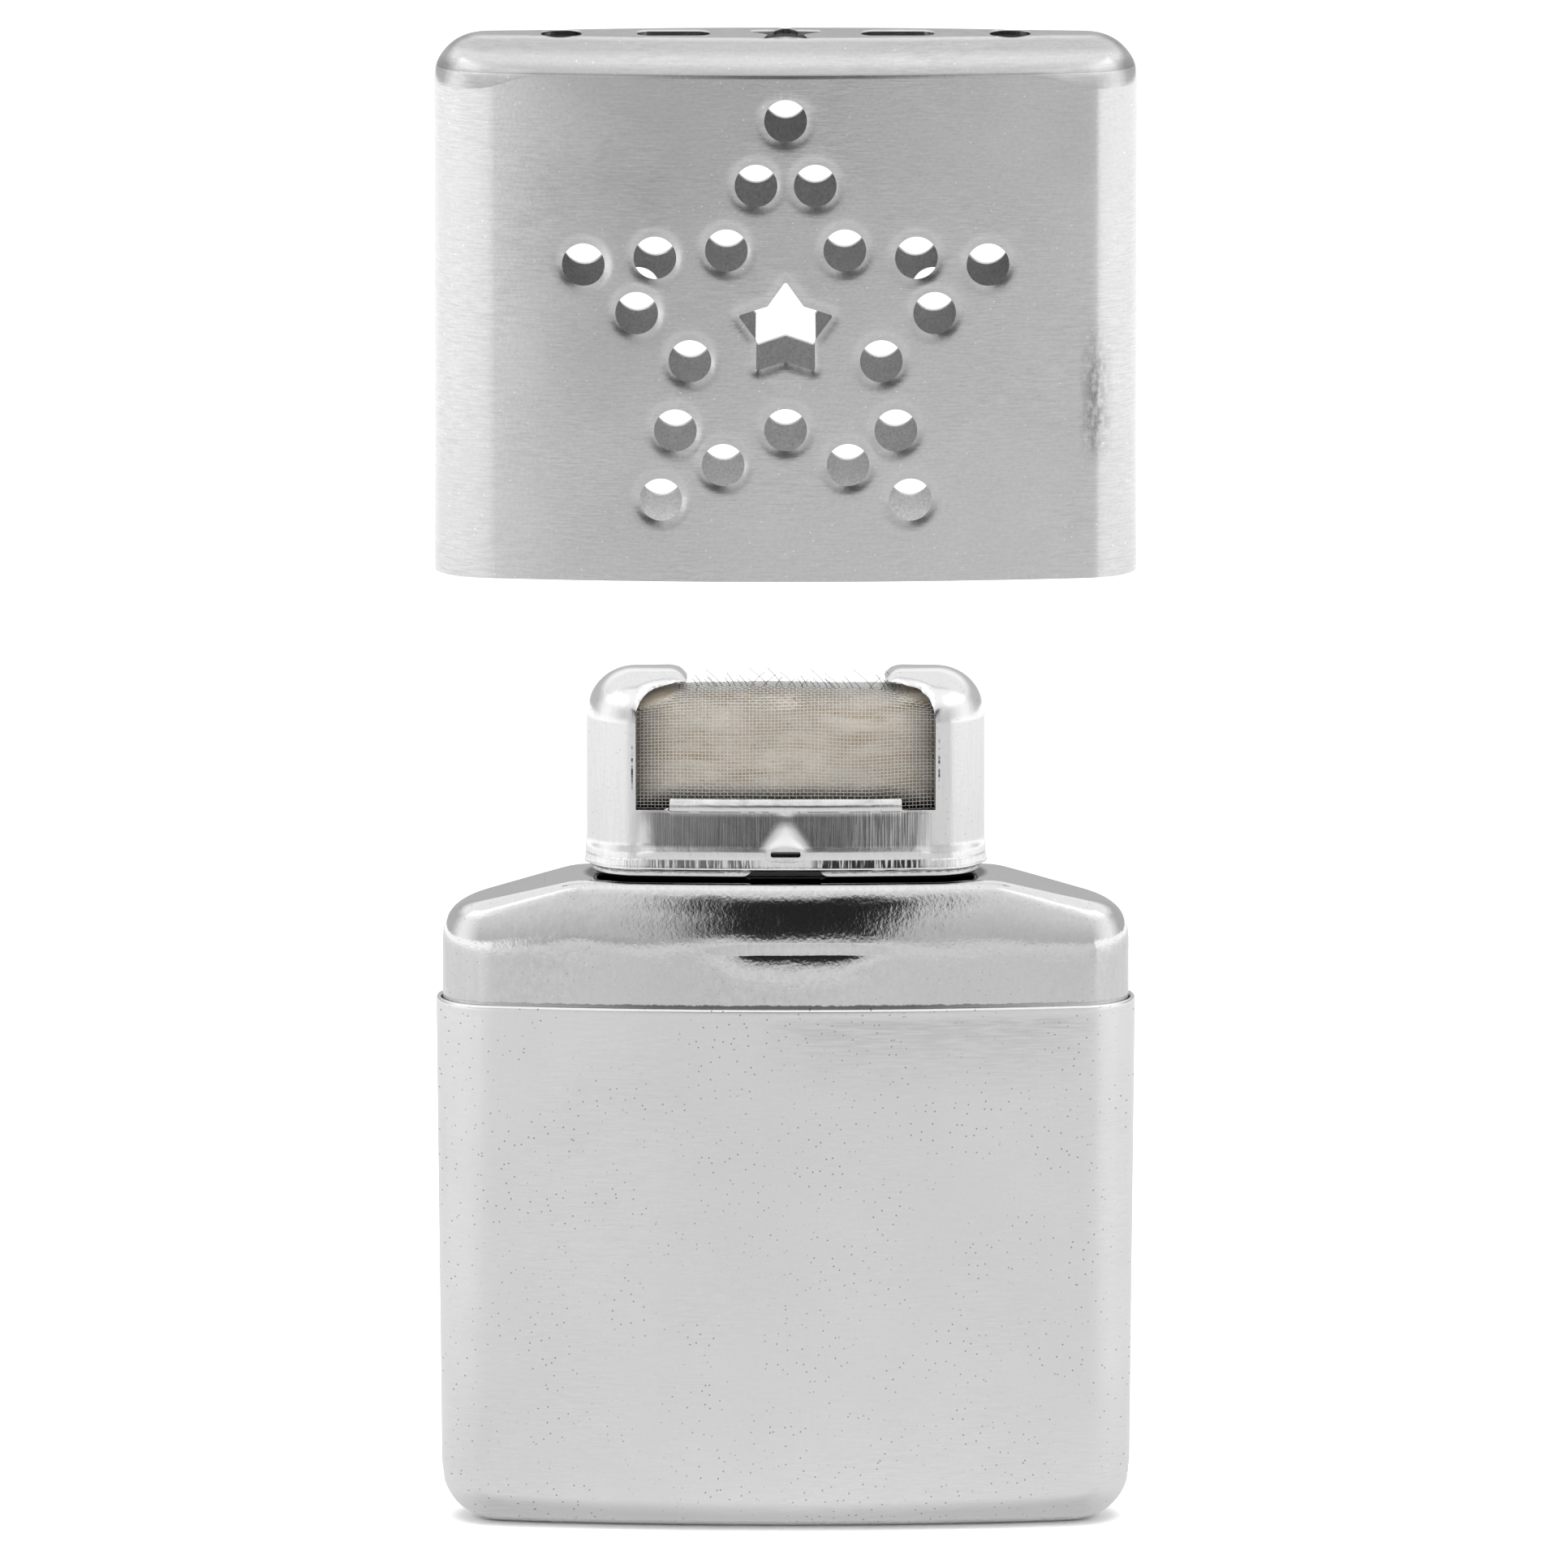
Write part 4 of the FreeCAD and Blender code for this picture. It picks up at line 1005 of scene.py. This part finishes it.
def build_frame():
    """Cap cut open along the window, its lips curled in and its collar raised out of the wall."""
    step = 0.33
    crown = BURNER_TOP - FRAME_CROWN
    low = np.arange(COLLAR, SILL + 1.4, 0.16)
    rows = np.concatenate([low, np.arange(low[-1] + step, crown - step / 2, step), [crown]])
    slit = box_loop(1.4, COLLAR + SLIT_LOW, COLLAR + SLIT_HIGH, 0.2, 5, 0.2)
    loops = [to_wall(BURNER, slit, front) for front in (True, False)]
    flat, faces = sheet(np.append(BURNER.walk(step), BURNER.length), rows, loops, (0.09,), 0.05)
    cap = cap_skin(BURNER, FRAME_CROWN, FRAME_CROWN, BURNER_TOP, step, flat_step=0.3, rings=22)
    points, faces = join((np.column_stack([BURNER.at(flat[:, 0]), flat[:, 1]]), faces), cap)
    faces = oriented(points, faces)
    points, faces = clip(points, faces, window_field(points))
    normals = vertex_normals(points, faces)
    rough_z = points[:, 2] + 0.05 * ripple(points, 0.9, 14)
    out = collar_shape(points[:, 0], rough_z, np.abs(normals[:, 1]) > 0.5)
    pleat = 0.03 * ripple(points * [1, 1, 0.12], 0.30, 12) * np.clip(1.6 - (points[:, 2] - COLLAR), 0, 1)
    points = points + normals * [1, 1, 0] * (out + pleat)[:, None]
    side, z = np.abs(points[:, 0]), points[:, 2]
    high = np.clip((z - crown - 0.6) / 1.2, 0, 1) * np.clip((WINDOW + 0.4 - side) / 1.5, 0, 1)
    curl = np.clip(1 - window_field(points) / 0.9, 0, 1) ** 1.6 * high
    points = points - normals * (curl * LIP_CURL)[:, None]
    tips = np.clip((LIP_GAP + 1.6 - np.abs(points[:, 0])) / 1.6, 0, 1) ** 1.5 * (points[:, 2] > crown + 1.5)
    points[:, 2] -= LIP_DROOP * tips
    points = np.clip(points, *node_box("burner_frame"))
    points, faces, _ = thicken(points, faces, FRAME_SHEET)
    add_piece("burner_cap", "burner_frame", "burner", points, faces, BURNER_STEEL, crease=44)


def build_sleeve():
    """Band inside the collar, its foot arched up round the notch in the middle of each face."""
    oval, half = BURNER.inset(SLEEVE_INSET), SLEEVE_WALL / 2
    arch, notch, notch_height = 1.1, 3.0, 1.5
    walk = oval.walk(0.22)
    side = np.abs(oval.at(walk)[:, 0])
    away = np.clip(side - notch, 0, arch)
    rise = notch_height * (1 - np.sqrt(np.maximum(1 - (1 - away / arch) ** 2, 0)) ** 0.8)
    foot = SLEEVE_FOOT + (side < oval.centre) * rise
    profile = [(0.0, 2.2), (0.0, 0.7)]
    turns = np.linspace(0, math.pi, 9)
    profile += [(half - half * math.cos(t), SLEEVE_HEM * (1 - math.sin(t))) for t in turns]
    profile += [(SLEEVE_WALL, 0.7), (SLEEVE_WALL, 2.2)]
    heights = [(inset, np.minimum(foot + up, SLEEVE_TOP - 0.5)) for inset, up in profile]
    top = np.full(len(walk), SLEEVE_TOP)
    heights = [(0.0, top), *heights, (SLEEVE_WALL, top), (0.0, top)]
    rows = [np.column_stack([oval.at(walk, inset), height]) for inset, height in heights]
    points, faces = join((np.concatenate(rows), grid_faces(len(rows), len(walk))))
    add_piece("sleeve_band", "burner_inner_sleeve", "burner", points, faces,
              SLEEVE_STEEL, crease=44)


# ---------------------------------------------------------------- gauze and pad


def drape(oval, top, foot, x, share):
    """Point and normal of the gauze at x and a share of its way from front foot over to back foot."""
    depth = np.sqrt(oval.face**2 - x**2) - oval.drop
    straight, bend = top - GAUZE_TURN - foot, GAUZE_TURN * math.pi / 2
    sign = np.where(share > 0.5, -1.0, 1.0)
    run = np.minimum(share, 1 - share) * 2 * (straight + bend + depth - GAUZE_TURN)
    angle = np.clip((run - straight) / GAUZE_TURN, 0, math.pi / 2)
    y = -depth + GAUZE_TURN * (1 - np.cos(angle)) + np.maximum(run - straight - bend, 0)
    z = foot + np.minimum(run, straight) + GAUZE_TURN * np.sin(angle)
    return np.column_stack([x, y * sign, z]), np.column_stack([0 * x, -np.cos(angle) * sign, np.sin(angle)])


def sway_at(x, share, x_scale, share_scale, seed):
    return np.array([noise.noise(Vector((a / x_scale, b * share_scale, seed))) for a, b in zip(x, share)])


class Weave:
    """Wires laid over the pad, gathered into one mesh."""

    SECTION = [(math.cos(t), math.sin(t)) for t in (0.0, 2 * math.pi / 3, 4 * math.pi / 3)]
    SINK = 0.16

    def __init__(self):
        self.oval, self.top, self.foot = BURNER.inset(GAUZE_INSET), GAUZE_TOP - self.SINK, GAUZE_FOOT + 0.05
        straight = self.top - GAUZE_TURN - self.foot
        self.length = 2 * straight + math.pi * GAUZE_TURN + 2 * (self.oval.depth - GAUZE_TURN)
        self.points, self.faces, self.total = [], [], 0

    def lay(self, x, share, lift):
        """Centres and normals of a wire through given places; the gauze billows, and sags at its sides."""
        slow, quick = sway_at(x, share, 7.0, 6.0, 2.5), sway_at(x, share, 2.2, 14.0, 8.5)
        sway = 0.35 * slow
        centres, normals = drape(self.oval, self.top, self.foot, x, np.clip(share + sway / self.length, 0, 1))
        centres = centres + normals * (lift + 0.10 * slow + 0.05 * quick - self.SINK)[:, None]
        high = np.clip((centres[:, 2] - self.top + 3.0) / 3.0, 0, 1)
        centres[:, 2] -= 0.75 * high * np.clip((np.abs(x) - 7.5) / 6.0, 0, 1) ** 2
        return centres, normals

    def add(self, centres, normals, side, thick=WIRE):
        """Three-sided wire along its centres, closed at both ends."""
        rings = np.stack([centres + thick * (c * normals + s * side) for c, s in self.SECTION], 1)
        self.points.append(rings.reshape(-1, 3))
        self.faces += (grid_faces(len(centres), 3) + self.total).tolist()
        self.faces.append([self.total + 2, self.total + 1, self.total])
        self.total += 3 * len(centres)
        self.faces.append([self.total - 3, self.total - 2, self.total - 1])


def scatter(index, pace):
    """Evenly scattered number from 0 to 1 for each index."""
    return (index * pace) % 1.0


def build_gauze():
    """Wires woven over and under each other, and loose fibres of the pad that stick out through them."""
    weave = Weave()
    along_x = np.array([1.0, 0, 0])
    columns, rows = int(2 * GAUZE_HALF / PITCH), int(weave.length / PITCH)
    detail = 2
    share = np.linspace(0, 1, rows * detail + 1)
    for i in range(columns):
        x = np.full(len(share), -GAUZE_HALF + (i + 0.5) * 2 * GAUZE_HALF / columns)
        weave.add(*weave.lay(x, share, WIRE * np.cos(math.pi * (share * rows + i))), along_x)
    x = np.linspace(-GAUZE_HALF, GAUZE_HALF, columns * detail + 1)
    for j in range(rows + 1):
        lift = -WIRE * np.cos(math.pi * ((x + GAUZE_HALF) / (2 * GAUZE_HALF) * columns - 0.5 + j))
        centres, normals = weave.lay(x, np.full(len(x), j / rows), lift)
        weave.add(centres, normals, np.cross(normals, along_x))
    woven = len(weave.faces)
    along = np.linspace(0, 1, 5)
    for i in range(STRAYS):
        stray_x, stray_share = -8.5 + 21.0 * scatter(i, 0.618), 0.43 + 0.06 * scatter(i, 0.377)
        start, _ = weave.lay(np.array([stray_x]), np.array([stray_share]), np.zeros(1))
        lean, tall = 0.5 + 0.5 * scatter(i, 0.713), 0.8 + 1.3 * scatter(i, 0.271) ** 2
        lean *= 1 if i % 4 == 0 else -1
        rise = np.column_stack([lean * tall * along**1.3, -0.25 * along * tall, tall * along - 0.1])
        weave.add(start + rise, np.tile([0.0, -1.0, 0.0], (5, 1)), along_x, STRAY_THICK)
    points = np.concatenate(weave.points)
    add_piece("gauze_weave", "burner_gauze", "burner", points, weave.faces, WIRE_STEEL,
              crease=180, lining=STRAY_FIBRE, lined=range(woven, len(weave.faces)))


def wad(name, node, body, material, lumps, step, seed, crown=1.2, sloping=False):
    """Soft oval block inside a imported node's box, with a lumpy fibrous surface."""
    low, high = node_box(node)
    reach, depth = high[:2] - 0.02
    oval = Oval(reach, depth, min(depth * 0.82, reach * 0.4))
    crown = min(crown, (high[2] - low[2]) / 2.2, oval.end * 0.9)
    turns = np.linspace(0.0, math.pi / 2, 7)
    edge = [(crown * (1 - math.sin(t)), low[2] + crown * (1 - math.cos(t))) for t in turns]
    sides = [(0.0, z) for z in np.arange(low[2] + crown + step, high[2] - crown - step / 2, step)]
    profile = [*edge, *sides, *((inset, low[2] + high[2] - z) for inset, z in reversed(edge))]
    points, faces, count = sweep(oval, profile, step)
    spots = grid(np.arange(-reach, reach, step), np.arange(-depth, depth, step))
    spots = spots[oval.depth_inside(spots) > crown + step / 2]
    under, under_faces = plate(spots, points[:count, :2], low[2])
    over = plate(spots, points[:count, :2], high[2])
    points, faces = join((points, faces), (under, under_faces[:, ::-1]), over)
    sink = lumps * (0.55 + 0.45 * ripple(points, 2.2, seed) + 0.4 * ripple(points, 0.7, seed + 1))
    points = points - vertex_normals(points, faces) * np.maximum(sink, 0)[:, None]
    if sloping:
        lost = PLATEAU - roof_line(points[:, 0])
        points[:, 2] -= lost * (points[:, 2] - low[2]) / (high[2] - low[2])
    piece = add_piece(name, node, body, points, faces, material, crease=180)


def build_soft():
    step = 0.45
    wad("wool_block", "catalyst_pad", "burner", GLASS_WOOL, lumps=0.16,
        step=step, seed=21, crown=3.2)
    wad("felt_plug", "neck_felt", "tank", FELT_FIBRE, lumps=0.08, step=0.7, seed=31)
    for name, node, seed in (("low", "lower", 41), ("mid", "middle", 51), ("top", "upper", 61)):
        wad(f"cotton_wad_{name}", f"cotton_{node}", "tank", COTTON_FIBRE, lumps=0.5,
            step=1.1, seed=seed, crown=3.0, sloping=name == "top")


# ---------------------------------------------------------------- studio, in metres


def stage_mesh(name, corners, faces, material, hidden=True):
    """Floor, or a card that only the metal's reflections see."""
    mesh = bpy.data.meshes.new(name)
    mesh.from_pydata(corners, [], faces)
    mesh.materials.append(material)
    card = link(name, mesh)
    card.visible_camera = card.visible_shadow = card.visible_diffuse = not hidden


def level_card(name, half_x, half_y, z, material, hidden=True):
    corners = [(-half_x, -half_y, z), (half_x, -half_y, z), (half_x, half_y, z), (-half_x, half_y, z)]
    stage_mesh(name, corners, [(0, 1, 2, 3)], material, hidden)


def floor_material():
    material, nodes, shader = new_material("pale_floor")
    nodes.finish(shader, nodes.blend(nodes.noise(160.0), grey(0.93), grey(0.95)), 0.9, Specular_IOR_Level=0.1)
    return material


def glow(name, light_levels=None):
    """Plain light of one level, or of levels that a function of the card's nodes gives."""
    material = bpy.data.materials.new(name)
    material.use_nodes = True
    tree = material.node_tree
    tree.nodes.clear()
    light = tree.nodes.new("ShaderNodeEmission")
    light.inputs["Strength"].default_value = 1.0
    if light_levels:
        nodes = Nodes(tree, METRE)
        nodes.feed(light_levels(nodes), light.inputs["Strength"])
    tree.links.new(light.outputs[0], tree.nodes.new("ShaderNodeOutputMaterial").inputs["Surface"])
    return material


def camera_sector(turn, low):
    """1 where the camera and its operator block the light; narrower where low is 1, softer to the left."""
    return (turn - low * 0.03).ramp(-0.170, -0.085) * (turn + low * 0.04).ramp(0.130, 0.165, 1.0, 0.0)


def floor_levels(nodes):
    """Light that the floor sends back to the metal: softer in front, dim under the tank's foot."""
    x, ahead = nodes.x, -nodes.y
    wedge = (x - ahead * 0.72).most(-x - ahead * 0.27)
    outside = wedge.ramp(0.02, 0.07).most(ahead.ramp(0.05, -0.02))
    front = ahead.curve((0.0, 0.76), (0.22, 0.76), (0.30, 0.70), (0.36, 0.83), (0.50, 0.84),
                        (0.585, 0.80), (0.63, 0.74), (0.70, 0.68), (0.9, 0.56), (1.4, 0.62))
    dim = (x + 0.13).hypot(ahead - 0.72).ramp(0.05, 0.26, 0.22, 0.0) * x.ramp(-0.085, -0.04, 1.0, 0.0)
    dark = camera_sector(x / ahead.most(0.1), 1.0) * ahead.ramp(1.15, 1.3)
    front = between(dark, front - dim, 0.05)
    around = x.hypot(ahead).curve((0.1, 0.84), (0.30, 0.88), (0.40, 0.96), (0.55, 1.30), (1.2, 1.35))
    cloud = nodes.noise((60.0, 120.0, 60.0), 2.0).ramp(0.35, 0.65, -0.04, 0.04)
    foot = ((abs(x) - 0.017) * 1.6).most(abs(ahead) * 3.0).ramp(0.018, 0.028, 0.72, 1.0)
    return (between(outside, front, around) + cloud) * foot


def ring_levels(nodes):
    """Light from around the object: dark where the camera stands, dimmer low down, bright above."""
    y, rise, turn = nodes.y, (nodes.z - 0.06) / RING_METRES, nodes.x / RING_METRES
    side = abs(turn)
    wobble = turn + nodes.noise(260.0, 2.0).ramp(0.3, 0.7, -0.015, 0.015)
    dark = camera_sector(wobble, rise.ramp(0.0, 0.36, 1.0, 0.0))
    lit = (1.0 - dark).most(rise.ramp(0.37, 0.46)).most(y.ramp(-0.4, 0.0))
    front = between(y.ramp(-0.2, 0.2), rise.ramp(0.0, 0.32, 0.62, 0.82), 0.56)
    low = between(side.ramp(0.55, 0.95), front, y.ramp(-0.2, 0.6, 1.15, 0.60))
    high = between(side.ramp(0.35, 0.6) * y.ramp(0.1, -0.1), 1.15, 1.7)
    return between(lit, 0.02, between(rise.ramp(0.40, 0.70), low, high))


def aim(thing, place, target):
    """Puts a lamp or camera at a place, looking at a target."""
    thing.location = place
    thing.rotation_euler = (Vector(target) - Vector(place)).to_track_quat("-Z", "Y").to_euler()


def build_studio():
    level_card("floor", 6.0, 6.0, 0.0, floor_material(), hidden=False)
    level_card("floor_card", 1.58, 1.58, 0.0008, glow("floor_glow", floor_levels))
    level_card("gap_card", 0.03, 0.0055, 0.0905, glow("gap_glow"))
    sides, height = 96, 1.9
    ring = [(x, y, z) for z in (0.0, height) for x, y in ring_of(RING_METRES, sides)]
    panels = [(i, (i + 1) % sides, sides + (i + 1) % sides, sides + i) for i in range(sides)]
    stage_mesh("ring_card", ring, panels, glow("ring_glow", ring_levels))
    world = bpy.data.worlds.new("studio")
    bpy.context.scene.world = world
    world.use_nodes = True
    back = next(n for n in world.node_tree.nodes if n.type == "BACKGROUND")
    back.inputs["Color"].default_value = (1, 1, 1, 1)
    back.inputs["Strength"].default_value = 1.12
    light = bpy.data.lights.new("top_box", "AREA")
    light.shape, light.size, light.size_y, light.energy = "RECTANGLE", 0.7, 0.5, 5.0
    lamp = link("top_box", light)
    lamp.visible_camera = lamp.visible_glossy = False
    aim(lamp, (0.0, -0.15, 0.75), (0, 0, 0.08))


def build_camera():
    data = bpy.data.cameras.new("camera")
    data.sensor_width, data.lens = 36.0, 487.2
    data.clip_start, data.clip_end = 0.05, 40.0
    camera = link("camera", data)
    distance, rise = 2.0, math.radians(11.4)
    target = Vector((-0.0002, 0.0, 0.07085))
    aim(camera, target + distance * Vector((0, -math.cos(rise), math.sin(rise))), target)
    bpy.context.scene.camera = camera


bpy.context.scene.view_settings.view_transform = "Standard"
build_cover()
build_tank()
build_shoulder()
build_frame()
build_sleeve()
build_gauze()
build_soft()
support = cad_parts["pad_support"].data.materials
support.clear()
support.append(SLEEVE_STEEL)
build_studio()
build_camera()
